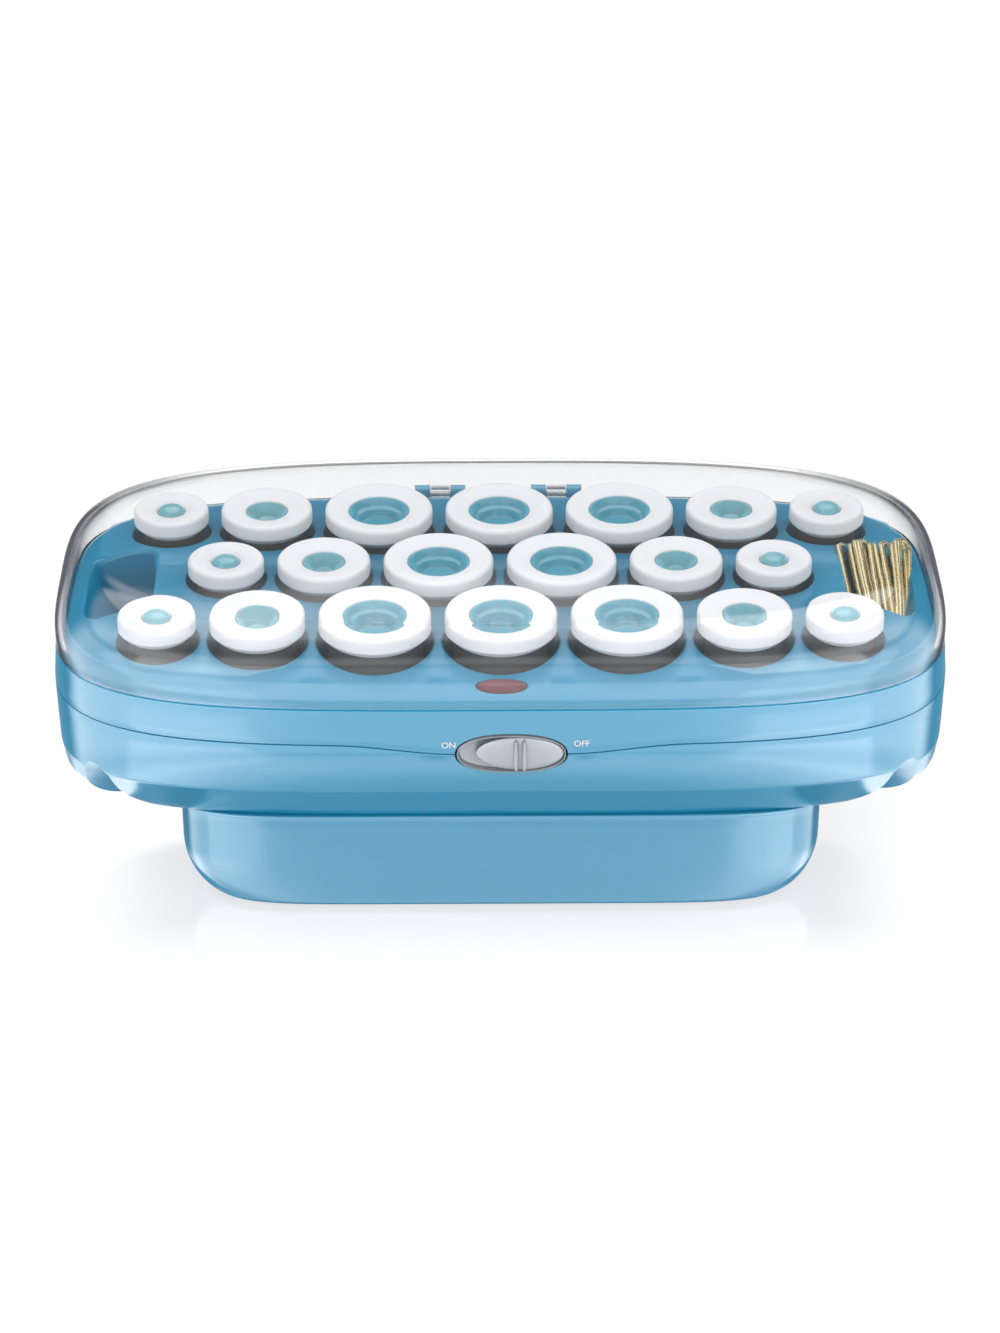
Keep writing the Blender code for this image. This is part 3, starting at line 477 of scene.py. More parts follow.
sole_rises = [PEDESTAL_SOLE_ROUND * (1 - cos(t)) for t in np.linspace(0, pi / 2, 6)]
end_rises = [PEDESTAL_END_RISE * (1 - cos(t)) for t in np.linspace(END_ROUND_START, pi / 2, 14)]
edge_rises = [PEDESTAL_HEIGHT - PEDESTAL_EDGE_ROUND * (1 - cos(t)) for t in np.linspace(pi / 2, 0, 6)]
pedestal_rises = sole_rises + end_rises + PEDESTAL_WALL_RISES + edge_rises
inner_rises = [PEDESTAL_HEIGHT, PEDESTAL_END_RISE] + end_rises[:0:-2] + [SHELL_WALL]
pedestal = lofted("pedestal_tub", [pedestal_section(h, 0.0) for h in pedestal_rises]
                  + [pedestal_section(h, SHELL_WALL) for h in inner_rises])
worn(pedestal, pearl)
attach(pedestal, "base")
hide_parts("pedestal")

# Lower housing: the hollow blue tub under the seam, injection-moulded in one shot.
# Its front leans in below a soft crease, and finger notches are scooped under the two front corners.
# It is screwed to the upper housing from inside, with the switch in its rim and the cord in its rear wall.
HALF_LENGTH = 167.2
HALF_DEPTH = 83.468
HULL_BOTTOM = 42.9
SEAM = 86.0
SEAM_GAP = 0.3
SEAM_CORNERS = 3.8
BELLY_CORNERS = 4.4
CREASE_RISE = 21.5
CREASE_INSET = 3.6
CREASE_SWELL = 1.6
CREASE_SOFT = 0.9
BELLY_INSET = 22.5
END_LEAN = 2.5
BOTTOM_ROUND = 12.0
RIM_ROUND = 0.4
SEAM_DIP = 3.7
SEAM_DIP_REACH = 44.0
SWITCH_X = 3.4
SWITCH_Z = SEAM - SEAM_DIP
SWITCH_HALF_LENGTH = 19.8
SWITCH_HALF_HEIGHT = 7.7
SWITCH_CORNERS = 2.3
SWITCH_HOLE_DEPTH = 6.0
SWITCH_GAP = 0.7
HOLE_MARGIN = 4.0
OVAL_POINTS = 72
NOTCH_TOP = 68.0
NOTCH_BACK = -62.4
NOTCH_SLOPE = 0.7375
NOTCH_ROUND = 4.0
NOTCH_FAR = HALF_LENGTH + HALF_DEPTH
# height, how far out from the middle the notch begins there
NOTCH_INNER = [(30.0, 120.0), (44.5, 130.0), (46.6, 134.5), (50.0, 139.0), (54.6, 142.0), (59.0, 143.6),
               (63.0, 144.6), (65.5, 146.0), (67.2, 148.5), (68.0, 152.0)]
GLAND_PLACE = (-60.0, 83.0, 77.0)
GLAND_HOLE = 5.2
GLAND_HOLE_REACH = 8.0
LOW_WALL_HEIGHTS = [58.0, 61.5]
HIGH_WALL_HEIGHTS = [68.0, 71.5, 75.0, 78.5, 81.5]
HULL_POINTS = 240
# how many of the low heights lie too near the floor for the inner skin, and for the middle of the wall
FLOOR_HEIGHTS = 6
MIDWALL_HEIGHTS = 4

hull_angles = plan_angles(HALF_LENGTH, HALF_DEPTH, SEAM_CORNERS, HULL_POINTS)
oval_angles = np.linspace(0, 2 * pi, OVAL_POINTS, endpoint=False)


def dipped(loop):
    """A seam loop lowered in a smooth wave towards the switch."""
    past = np.clip((np.abs(loop[:, 0] - SWITCH_X) - SWITCH_HALF_LENGTH) / SEAM_DIP_REACH, 0, 1)
    dip = SEAM_DIP * (1 - past * past * (3 - 2 * past))
    loop[:, 2] -= np.where(loop[:, 1] < 0, dip, 0)
    return loop


def belly_section(z, inset):
    """Lower housing outline at height z."""
    rise = z - HULL_BOTTOM
    seam_rise = SEAM - HULL_BOTTOM
    fall = max(0.0, (seam_rise - rise) / (seam_rise - CREASE_RISE))
    front = CREASE_INSET * fall**CREASE_SWELL
    if fall > 1:
        front = CREASE_INSET + (BELLY_INSET - CREASE_INSET) * (1 - rise / CREASE_RISE)
    ends = END_LEAN * (1 - rise / seam_rise) + rounding(BOTTOM_ROUND, rise)
    corners = SEAM_CORNERS + (BELLY_CORNERS - SEAM_CORNERS) * min(1.0, fall)
    return outline(HALF_LENGTH - ends - inset, HALF_DEPTH - front - inset, corners, z, hull_angles)


def notch_tool(side, grow):
    """A finger notch under a front corner: its back wall slopes, and the belly beside it is rounded."""
    loops = []
    for z, inner in NOTCH_INNER:
        back = NOTCH_BACK + NOTCH_SLOPE * (NOTCH_TOP - z) + grow
        inner -= grow
        turn = [(inner + NOTCH_ROUND * (1 - cos(t)), back - NOTCH_ROUND * (1 - sin(t)))
                for t in np.linspace(0, pi / 2, 7)]
        plan = [(inner, -NOTCH_FAR)] + turn + [(NOTCH_FAR, back), (NOTCH_FAR, -NOTCH_FAR)]
        loops.append(np.array([(side * x, y, z + grow) for x, y in plan]))
    return lofted("notch", loops)


def joined(tools):
    """Several tools as one."""
    work = bmesh.new()
    for tool in tools:
        work.from_mesh(tool.data)
    work.to_mesh(tools[0].data)
    work.free()
    for tool in tools[1:]:
        bpy.data.objects.remove(tool)
    return tools[0]


def carved(obj, operation, *tools):
    """The object joined with tools that are clear of each other, or cut by them; the tools are put away."""
    tool = joined(tools)
    modifier = obj.modifiers.new(operation, "BOOLEAN")
    modifier.operation = operation
    modifier.solver = "EXACT"
    modifier.object = tool
    settled(obj)
    bpy.data.objects.remove(tool)
    return obj


def upright(loop, x, y, z):
    """A flat loop stood up about the point x, z, facing the front at depth y."""
    return np.column_stack([loop[:, 0] + x, np.full(len(loop), y), loop[:, 1] + z])


def switch_oval(grow, y):
    """Loop of the switch oval, standing in the front wall at depth y."""
    flat = outline(SWITCH_HALF_LENGTH + grow, SWITCH_HALF_HEIGHT + grow, SWITCH_CORNERS, 0, oval_angles)
    return upright(flat, SWITCH_X, y, SWITCH_Z)


def switch_hole():
    """Tool for the opening round the switch, half in each housing."""
    return lofted("switch_hole", [switch_oval(SWITCH_GAP, -HALF_DEPTH - HOLE_MARGIN),
                                  switch_oval(SWITCH_GAP, -HALF_DEPTH + SWITCH_HOLE_DEPTH)])


low_heights = [HULL_BOTTOM + BOTTOM_ROUND * (1 - cos(t)) for t in np.linspace(0, pi / 2, 11)]
crease = HULL_BOTTOM + CREASE_RISE
crease_heights = [crease + CREASE_SOFT * share for share in (-1, -1 / 3, 1 / 3, 1)]
side_heights = LOW_WALL_HEIGHTS + crease_heights + HIGH_WALL_HEIGHTS
rim = SEAM - SEAM_GAP / 2
tub_loops = [belly_section(z, 0.0) for z in low_heights + side_heights]
tub_loops += [dipped(belly_section(rim - RIM_ROUND * (1 - sin(t)), RIM_ROUND * (1 - cos(t))))
              for t in np.linspace(0, pi / 2, 4)]
tub_loops.append(dipped(belly_section(rim, SHELL_WALL)))
tub_loops += [belly_section(z, SHELL_WALL) for z in reversed(side_heights)]
tub_loops += [belly_section(z, SHELL_WALL) for z in reversed(low_heights[FLOOR_HEIGHTS:])]
tub_loops.append(belly_section(HULL_BOTTOM + SHELL_WALL, SHELL_WALL))
tub = lofted("lower_housing_tub", tub_loops)

# Each notch is given walls as thick as the shell, which reach to the middle of the wall they join.
half_wall = SHELL_WALL / 2
core_loops = [belly_section(HULL_BOTTOM + half_wall, half_wall)]
core_loops += [belly_section(z, half_wall) for z in low_heights[MIDWALL_HEIGHTS:] + side_heights]
for side in (-1, 1):
    skin = carved(notch_tool(side, SHELL_WALL), "INTERSECT", lofted("belly_core", core_loops))
    carved(tub, "UNION", skin)
    carved(tub, "DIFFERENCE", notch_tool(side, 0.0))
carved(tub, "DIFFERENCE", switch_hole())
gland_x, gland_y, gland_z = GLAND_PLACE
gland_round = outline(GLAND_HOLE, GLAND_HOLE, 2, 0, oval_angles)
carved(tub, "DIFFERENCE", lofted("gland_hole", [
    upright(gland_round, gland_x, gland_y + reach, gland_z)
    for reach in (-GLAND_HOLE_REACH, GLAND_HOLE_REACH)]))
worn(smoothed(tub), pearl)
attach(tub, "base")
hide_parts("lower_housing")

# Cord bushing: a black rubber grommet pushed into a hole in the rear wall, where the mains cord goes in.
# It is turned in the mould, with a rounded flange outside and a straight sleeve through the wall.
GLAND_BORE = 3.25
GLAND_SLEEVE = 4.9
GLAND_LIP = 1.6
GLAND_STEPS = 40
low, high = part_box("cord_gland")
gland_flange = (high.x - low.x) / 2 / MM
sleeve_length = (high.y - low.y) / MM
bushing_profile = filleted([
    (GLAND_BORE, sleeve_length / 2, 0), (GLAND_BORE, sleeve_length, 0.5), (gland_flange, sleeve_length, 0.7),
    (gland_flange, sleeve_length - GLAND_LIP, 0.3), (GLAND_SLEEVE, sleeve_length - GLAND_LIP, 0.1),
    (GLAND_SLEEVE, 0, 0.3), (GLAND_BORE, 0, 0.3), (GLAND_BORE, sleeve_length / 2, 0)])
bushing = turned("cord_bushing", bushing_profile, (0, -PLAN_SHIFT, 0), GLAND_STEPS, rubber)
seat = Matrix.Translation(Vector(((low.x + high.x) / 2, low.y, (low.z + high.z) / 2)))
bushing.data.transform(seat @ Matrix.Rotation(-pi / 2, 4, "X"))
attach(bushing, "base")
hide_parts("cord_gland")

# Heater: under the plate a ceramic-clad racing-track element and a snap thermostat, both held by clips.
# The switch's contact block sits behind the front wall. They are out of sight and keep their plain solids.

# Fired ceramic: chalky and pale, with a faint speckle.
CERAMIC_SPECK = 1.2
ceramic = grained("fired_steatite_ceramic", {"Roughness": 0.6}, CERAMIC_SPECK, tints=("#C2BBAC", "#D6D0C4"))
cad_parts["heating_element"].material_slots[0].material = ceramic

# Tinned steel: a soft grey shine, mottled by the press.
PRESS_GRAIN = 0.5
tinned = grained("pressed_tinned_steel", {"Base Color": linear("#A9ACAE"), "Metallic": 1.0}, PRESS_GRAIN,
                 sheen=(0.3, 0.5))
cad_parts["thermostat"].material_slots[0].material = tinned

# Phenolic: dull black, its shine broken up by the filler.
PHENOLIC_GRAIN = 0.6
phenolic = grained("black_moulded_phenolic", {"Base Color": linear("#1E2023")}, PHENOLIC_GRAIN,
                   sheen=(0.45, 0.65))
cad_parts["switch_body"].material_slots[0].material = phenolic

# Heating plate: one cast aluminium plate with a round post for every roller, coated black against wear.
# It lies under the deck and shows only as the dark at the bottom of the wells.
LONG_ROW = [(0.0, "large"), (46.3, "large"), (89.425, "medium"), (126.2, "small")]
SHORT_ROW = [(23.15, "large"), (66.275, "medium"), (103.05, "small")]
ROW_PITCH = 41.018
PLATE_HALF_LENGTH = 138.2
PLATE_HALF_DEPTH = 53.018
PLATE_CORNERS = 8.0
PLATE_BOTTOM = 53.6
PLATE_TOP = 56.1
PLATE_EDGE = 0.5
PLATE_POINTS = 96
POST_RADIUS = 4.5
POST_RISE = 38.0
POST_ROOT = 1.2
POST_ROUND = 1.4
POST_STEPS = 24


def row_of(half_row, y):
    """Roller places of a row from left to right."""
    left = [(-x, y, size) for x, size in reversed(half_row) if x > 0]
    return left + [(x, y, size) for x, size in half_row]


roller_places = row_of(LONG_ROW, ROW_PITCH) + row_of(SHORT_ROW, 0.0) + row_of(LONG_ROW, -ROW_PITCH)

# Coated alloy: near black and dry-looking, with the fine stipple of a sprayed and baked coat.
COATING_GRAIN = 0.5
coated_alloy = grained("black_coated_cast_aluminium", {"Base Color": linear("#1B1D20"), "Metallic": 0.3},
                       COATING_GRAIN, sheen=(0.5, 0.7))

plate_angles = plan_angles(PLATE_HALF_LENGTH, PLATE_HALF_DEPTH, PLATE_CORNERS, PLATE_POINTS)
plate_steps = [(PLATE_EDGE, PLATE_BOTTOM), (0, PLATE_BOTTOM + PLATE_EDGE), (0, PLATE_TOP - PLATE_EDGE),
               (PLATE_EDGE, PLATE_TOP)]
plate = lofted("heating_plate_casting", [
    outline(PLATE_HALF_LENGTH - inset, PLATE_HALF_DEPTH - inset, PLATE_CORNERS, z, plate_angles)
    for inset, z in plate_steps])
post_profile = filleted([(0, -POST_ROOT, 0), (POST_RADIUS, -POST_ROOT, 0),
                         (POST_RADIUS, POST_RISE, POST_ROUND), (0, POST_RISE, 0)])
posts = [turned("post", post_profile, (x, y, PLATE_TOP), POST_STEPS, coated_alloy)
         for x, y, size in roller_places]
carved(plate, "UNION", *posts)
worn(smoothed(plate), coated_alloy)
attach(plate, "base")
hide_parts("heating_plate")

# Switch tray: a shallow oval dish of grey-painted plastic, clipped into the front wall across the seam.
# Its rim stands level with the wall, and its floor carries the slider.
FRONT = -HALF_DEPTH
TRAY_DEPTH = 5.4
TRAY_FLOOR = 2.6
# inset from the oval, depth behind the face of the wall
tray_steps = [(0.0, TRAY_DEPTH), (0.0, 0.25), (0.08, 0.08), (0.2, 0.0), (0.32, 0.08), (0.45, 0.4),
              (0.6, 1.4), (1.0, 2.2), (1.8, TRAY_FLOOR)]

# Grey paint: a sprayed metallic coat, even and a little silky.
PAINT_GRAIN = 0.35
grey_paint = grained("grey_painted_abs", {"Base Color": linear("#8E949A"), "Metallic": 0.3}, PAINT_GRAIN,
                     sheen=(0.35, 0.5))

tray = lofted("switch_tray_dish", [switch_oval(-inset, FRONT + y) for inset, y in tray_steps])
worn(tray, grey_paint)
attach(tray, "base")
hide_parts("switch_tray")

# Switch slider: an oval silver-painted button that slides from OFF, on the right, to ON, on the left.
# Its face is slightly crowned, and two upright ridges with a groove between them give the thumb a hold.
SLIDER_OFFSET = 3.2
SLIDER_X = SWITCH_X + SLIDER_OFFSET
SLIDER_HALF_LENGTH = 15.9
SLIDER_HALF_HEIGHT = 6.9
SLIDER_CORNERS = 2.0
SLIDER_BACK = 2.3
SLIDER_SHOULDER = 0.9
SLIDER_CROWN = 1.7
SLIDER_CROWN_TURN = (radians(14), radians(84))
RIDGE_OFFSET = 1.5
RIDGE_HALF_WIDTH = 0.95
RIDGE_HALF_HEIGHT = 6.2
RIDGE_CORNERS = 3.0
RIDGE_RISE = 2.0
RIDGE_POINTS = 32
# share of the oval or of the ridge's width, depth behind the face of the wall
slider_steps = [(0.9, SLIDER_BACK), (0.97, 1.5), (1.0, SLIDER_SHOULDER)]
slider_steps += [(cos(t), SLIDER_SHOULDER - SLIDER_CROWN * sin(t))
                 for t in np.linspace(*SLIDER_CROWN_TURN, 9)]
ridge_steps = [(1.0, 0.6), (1.0, -0.6), (0.93, -1.3), (0.75, -1.75), (0.4, -RIDGE_RISE)]

# Silver paint: the same kind of coat as the tray's, paler and brighter.
silver_paint = grained("silver_painted_abs", {"Base Color": linear("#9CA1A6"), "Metallic": 0.25},
                       PAINT_GRAIN, sheen=(0.32, 0.46))


def slider_oval(share, y):
    """Loop of the slider oval at a share of its size and a depth from the wall's face."""
    flat = outline(SLIDER_HALF_LENGTH * share, SLIDER_HALF_HEIGHT * share, SLIDER_CORNERS, 0, oval_angles)
    return upright(flat, SLIDER_X, FRONT + y, SWITCH_Z)


slider = lofted("switch_slider_button", [slider_oval(share, y) for share, y in slider_steps])
ridge_angles = np.linspace(0, 2 * pi, RIDGE_POINTS, endpoint=False)
for side in (-1, 1):
    loops = []
    for share, y in ridge_steps:
        flat = outline(RIDGE_HALF_WIDTH * share, RIDGE_HALF_HEIGHT - RIDGE_HALF_WIDTH * (1 - share),
                       RIDGE_CORNERS, 0, ridge_angles)
        loops.append(upright(flat, SLIDER_X + side * RIDGE_OFFSET, FRONT + y, SWITCH_Z))
    carved(slider, "UNION", lofted("ridge", loops))
worn(smoothed(slider), silver_paint)
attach(slider, "switch_slider")
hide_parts("switch_slider")

# Switch words: ON and OFF pad-printed in white on the wall above the seam, one at each end of the slide.
# The ink stands a hair proud of the plastic.
WORD_HEIGHT = 2.4
WORD_STANDOFF = 0.05
LEDGE = 100.0
WALL_LEAN = 1.0
# word, place along the wall, height
SWITCH_WORDS = [("ON", -19.3, 86.3), ("OFF", 28.9, 86.8)]

# Pad-printed ink: flat white, a touch uneven from the pad.
INK_GRAIN = 0.2
white_ink = grained("white_pad_printed_ink", {"Base Color": linear("#F4F7FA")}, INK_GRAIN, sheen=(0.5, 0.6))

wall_rise = LEDGE - SEAM
for word, x, z in SWITCH_WORDS:
    letters = bpy.data.curves.new(f"word_{word}", "FONT")
    letters.body = word
    letters.align_x = "CENTER"
    letters.align_y = "CENTER"
    letters.offset = 0.01
    letters.extrude = 0.02
    letters.resolution_u = 6
    words = bpy.data.objects.new(f"printed_{word}", letters)
    scene.collection.objects.link(words)
    graph = bpy.context.evaluated_depsgraph_get()
    flat = bpy.data.meshes.new_from_object(words.evaluated_get(graph), depsgraph=graph)
    bpy.data.objects.remove(words)
    words = bpy.data.objects.new(f"printed_{word}", flat)
    scene.collection.objects.link(words)
    tall = max(v.co.y for v in flat.vertices) - min(v.co.y for v in flat.vertices)
    end_share = 1 - abs(x / HALF_LENGTH) ** SEAM_CORNERS
    wall_y = -(HALF_DEPTH - WALL_LEAN * (z - SEAM) / wall_rise) * end_share ** (1 / SEAM_CORNERS)
    word_place = Vector((x, wall_y - WORD_STANDOFF + PLAN_SHIFT, z)) * MM
    lean = Matrix.Rotation(pi / 2 - atan2(WALL_LEAN, wall_rise), 4, "X")
    flat.transform(Matrix.Translation(word_place) @ lean @ Matrix.Scale(WORD_HEIGHT * MM / tall, 4))
    worn(smoothed(words), white_ink)
    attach(words, "base")

# Upper housing: the blue deck with its twenty wells, two pin pockets, a rolled lip and a ledge for the lid.
# It is one injection moulding with short skirts that meet the tub at the seam, and hinge ears at the rear.
DECK = 103.8
DECK_CROWN = 5.2
CROWN_REACH = 64.0
CROWN_END = 132.0
DECK_SHARES = (0.03, 0.1, 0.2, 0.3, 0.4, 0.5, 0.6, 0.7, 0.8, 0.88, 0.95, 1.0)
LID_HALF_LENGTH = HALF_LENGTH - WALL_LEAN
LID_HALF_DEPTH = HALF_DEPTH - WALL_LEAN
LEDGE_WIDTH = 2.8
LIP_ROLL = 13.0
LEDGE_ROUND = 0.5
WELL_RADII = {"large": 21.55, "medium": 18.375, "small": 15.2}
WELL_FLARE = 0.9
SLEEVE_WALL = 1.0
SLEEVE_DEPTH = 32.0
WELL_CUT_RISE = 3.0
WELL_STEPS = 80
POCKET_X = 143.2
POCKET_Y = 2.0
POCKET_HALF_WIDTH = 13.2
POCKET_HALF_LENGTH = 22.0
POCKET_DEPTH = 28.0
POCKET_LEAN = 13.0
POCKET_WALL = 1.8
POCKET_FLARE = 1.6
POCKET_CORNERS = 6.0
POCKET_FLOOR_ROUND = 2.0
POCKET_DRAFT = 0.15
POCKET_MOUTH_DEPTH = 6.0
POCKET_POINTS = 72
KNUCKLE = 3.3
HINGE_Y = 86.468
HINGE_SPACING = 46.0
LUG_HALF_WIDTH = 3.7
EAR_WIDTH = 6.0
ROD_RADIUS = 1.25
HINGE_GAP = 0.3
HINGE_STEPS = 24
BORE_MARGIN = 1.0
LENS_HALF_LENGTH = 8.8
LENS_HALF_WIDTH = 3.7
LENS_CORNERS = 2.2
LENS_GAP = 0.8
LENS_HOLE_DEPTH = 8.0
LENS_HOLE_RISE = 5.0
LENS_Y = -70.368
LENS_TILT = radians(7)

deck_half_length = LID_HALF_LENGTH - LEDGE_WIDTH - LIP_ROLL
deck_half_depth = LID_HALF_DEPTH - LEDGE_WIDTH - LIP_ROLL


def crown(x, y):
    """How far the deck swells above its lip: most along the middle row, and falling off to all sides."""
    over_depth = 1 - np.clip(np.abs(y) / CROWN_REACH, 0, 1) ** 2
    over_length = 1 - np.clip((np.abs(x) - CROWN_END) / (deck_half_length - CROWN_END), 0, 1) ** 2
    return DECK_CROWN * over_depth * over_length


def crowned(tool):
    """A tool lifted to follow the swell of the deck."""
    for vertex in tool.data.vertices:
        vertex.co.z += crown(vertex.co.x / MM, vertex.co.y / MM - PLAN_SHIFT) * MM
    return tool


def deck_face(z):
    """Loops over the deck from its middle to its lip, swelling above height z."""
    loops = []
    for share in DECK_SHARES:
        loop = outline(deck_half_length * share, deck_half_depth * share, SEAM_CORNERS, z, hull_angles)
        loop[:, 2] += crown(loop[:, 0], loop[:, 1])
        loops.append(loop)
    return loops


def hull_edge(run, z):
    """Outline of the housing at the seam, drawn in by a run, at height z."""
    return outline(HALF_LENGTH - run, HALF_DEPTH - run, SEAM_CORNERS, z, hull_angles)


def lid_edge(run, z):
    """Outline of the lid's rim, drawn in by a run, at height z or at a height for each point."""
    return outline(LID_HALF_LENGTH - run, LID_HALF_DEPTH - run, SEAM_CORNERS, z, hull_angles)


deck_loops = deck_face(DECK)
lip_rise = deck_loops[-1][:, 2] - LEDGE
for t in np.linspace(pi / 2, 0, 16)[1:]:
    deck_loops.append(lid_edge(LEDGE_WIDTH + LIP_ROLL * (1 - cos(t)), LEDGE + lip_rise * sin(t)))
for t in np.linspace(pi / 2, 0, 5):
    deck_loops.append(lid_edge(LEDGE_ROUND * (1 - cos(t)), LEDGE - LEDGE_ROUND * (1 - sin(t))))
for share in (0.75, 0.5, 0.25):
    loop = hull_edge(WALL_LEAN * share, SEAM)
    low_z = dipped(loop.copy())[:, 2]
    loop[:, 2] = low_z + (LEDGE - low_z) * share
    deck_loops.append(loop)
brim = SEAM + SEAM_GAP / 2
for t in np.linspace(0, pi / 2, 4):
    deck_loops.append(dipped(hull_edge(RIM_ROUND * (1 - cos(t)), brim + RIM_ROUND * (1 - sin(t)))))
deck_loops.append(dipped(hull_edge(SHELL_WALL, brim)))
for run in (SHELL_WALL, LEDGE_WIDTH + SHELL_WALL):
    deck_loops.append(lid_edge(run, LEDGE - SHELL_WALL))
deck_loops += deck_face(DECK - SHELL_WALL)[::-1]
deck = lofted("upper_housing_deck", deck_loops)
pocket_angles = plan_angles(POCKET_HALF_WIDTH, POCKET_HALF_LENGTH, POCKET_CORNERS, POCKET_POINTS)
pocket_floor = DECK - POCKET_DEPTH


def pocket_loop(side, grow, z):
    """Loop of a pin pocket, whose outer wall leans in below the deck."""
    lean = POCKET_LEAN * max(0.0, DECK - z) / POCKET_DEPTH
    centre = (side * (POCKET_X - lean / 2), POCKET_Y)
    loop = outline(POCKET_HALF_WIDTH - lean / 2 + grow, POCKET_HALF_LENGTH + grow, POCKET_CORNERS, z,
                   pocket_angles, centre)
    loop[:, 2] += crown(loop[:, 0], loop[:, 1]) * min(1.0, max(0.0, (z - pocket_floor) / POCKET_DEPTH))
    return loop


def hinge_arc(radius, start, end, steps):
    """Points of an arc about the hinge, in the upright plane across it."""
    return [(HINGE_Y + radius * cos(t), LEDGE + radius * sin(t)) for t in np.linspace(start, end, steps + 1)]


def across(name, side_view, start, end):
    """A bar along the set with this side view."""
    return lofted(name, [np.array([(x, y, z) for y, z in side_view]) for x in (start, end)])


def rod_bore(reach):
    """Tool for the bore round the hinge rod, out to a reach on both sides."""
    return across("rod_bore", hinge_arc(ROD_RADIUS + HINGE_GAP, 0, 2 * pi, HINGE_STEPS)[:-1], -reach, reach)


def lens_loop(grow, share, z):
    """Loop of the indicator oval, tilted with the lip."""
    flat = outline(LENS_HALF_LENGTH * share + grow, LENS_HALF_WIDTH * share + grow, LENS_CORNERS, 0,
                   oval_angles)
    return np.column_stack([flat[:, 0], LENS_Y + flat[:, 1] * cos(LENS_TILT) - z * sin(LENS_TILT),
                            DECK + flat[:, 1] * sin(LENS_TILT) + z * cos(LENS_TILT)])


ear_root = LID_HALF_DEPTH - half_wall
ear_view = [(ear_root, LEDGE - KNUCKLE)]
ear_view += hinge_arc(KNUCKLE, -pi / 2, pi, HINGE_STEPS)
ear_view += [(ear_root, LEDGE - HINGE_GAP)]
lug_reach = LUG_HALF_WIDTH + HINGE_GAP
rod_reach = HINGE_SPACING / 2 + lug_reach + EAR_WIDTH
deck_adds = []
deck_cuts = [rod_bore(rod_reach + BORE_MARGIN), switch_hole()]
deck_cuts.append(lofted("lens_hole", [lens_loop(LENS_GAP, 1, -LENS_HOLE_DEPTH),
                                      lens_loop(LENS_GAP, 1, LENS_HOLE_RISE)]))
quarter = np.linspace(0, pi / 2, 6)
for x, y, size in roller_places:
    radius = WELL_RADII[size]
    outside = radius + SLEEVE_WALL
    sleeve = [(0, -SLEEVE_DEPTH), (outside, -SLEEVE_DEPTH), (outside, -half_wall), (0, -half_wall)]
    deck_adds.append(crowned(turned("sleeve", sleeve, (x, y, DECK), WELL_STEPS, pearl)))
    well_foot = -SLEEVE_DEPTH - HOLE_MARGIN
    well = [(0, well_foot), (radius, well_foot)]
    well += [(radius + WELL_FLARE * (1 - cos(t)), -WELL_FLARE + WELL_FLARE * sin(t)) for t in quarter]
    well += [(radius + WELL_FLARE, WELL_CUT_RISE), (0, WELL_CUT_RISE)]
    deck_cuts.append(crowned(turned("well", well, (x, y, DECK), WELL_STEPS, pearl)))
for side in (-1, 1):
    for near in (-1, 1):
        ends = sorted(side * HINGE_SPACING / 2 + near * x for x in (lug_reach, lug_reach + EAR_WIDTH))
        deck_adds.append(across("ear", ear_view, *ends))
    cup = [(-POCKET_FLOOR_ROUND * (1 - sin(t)), pocket_floor + POCKET_FLOOR_ROUND * (1 - cos(t)))
           for t in np.linspace(0, pi / 2, 5)]
    cup += [(POCKET_DRAFT, DECK - half_wall), (POCKET_WALL, DECK - half_wall),
            (POCKET_WALL, pocket_floor - POCKET_WALL)]
    deck_adds.append(lofted("pocket_cup", [pocket_loop(side, grow, z) for grow, z in cup]))
    rim_steps = [(0.0, DECK - POCKET_MOUTH_DEPTH)]
    rim_steps += [(POCKET_FLARE * (1 - cos(t)), DECK - POCKET_FLARE * (1 - sin(t))) for t in quarter]
    rim_steps += [(POCKET_FLARE, DECK + HOLE_MARGIN)]
    mouth = [pocket_loop(side, grow, z) for grow, z in rim_steps]
    mouth[0][:, 2] = DECK - POCKET_MOUTH_DEPTH
    mouth[-1][:, 2] = DECK + DECK_CROWN + HOLE_MARGIN
    deck_cuts.append(lofted("pocket_mouth", mouth))
carved(deck, "UNION", *deck_adds)
carved(deck, "DIFFERENCE", *deck_cuts)
worn(smoothed(deck), pearl)
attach(deck, "base")
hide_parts("upper_housing")

# Indicator: a red acrylic lens pressed into the lip, with a small glass neon lamp below it.
# Its top is flat with a bevelled edge, which catches the light along the front.
LENS_STEM = 4.0
LENS_RISE = 1.2
# share of the oval, height over the lip
lens_steps = [(1.0, -LENS_STEM), (1.0, 0.0), (0.98, 0.12), (0.6, LENS_RISE - 0.05), (0.56, LENS_RISE),
              (0.3, LENS_RISE + 0.05)]

# Red acrylic: dark and glassy, a little cloudy from the prisms moulded under it.
PRISM = 0.9
red_acrylic = grained("red_moulded_acrylic", {
    "Roughness": 0.12, "IOR": 1.49, "Transmission Weight": 0.25, "Coat Weight": 0.3}, PRISM,
    tints=("#4C121C", "#621E2A"))
lens = lofted("indicator_lens_oval", [lens_loop(0.0, share, z) for share, z in lens_steps])
worn(lens, red_acrylic)
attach(lens, "base")
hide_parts("indicator_lens")

# Lamp glass: thin and clear, with an amber cast and a few seed bubbles.
SEED_BUBBLE = 1.0
lamp_glass = grained("blown_lamp_glass", {"Roughness": 0.1, "Transmission Weight": 0.6}, SEED_BUBBLE,
                     tints=("#D9A36B", "#E3B587"))
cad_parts["indicator_lamp"].material_slots[0].material = lamp_glass

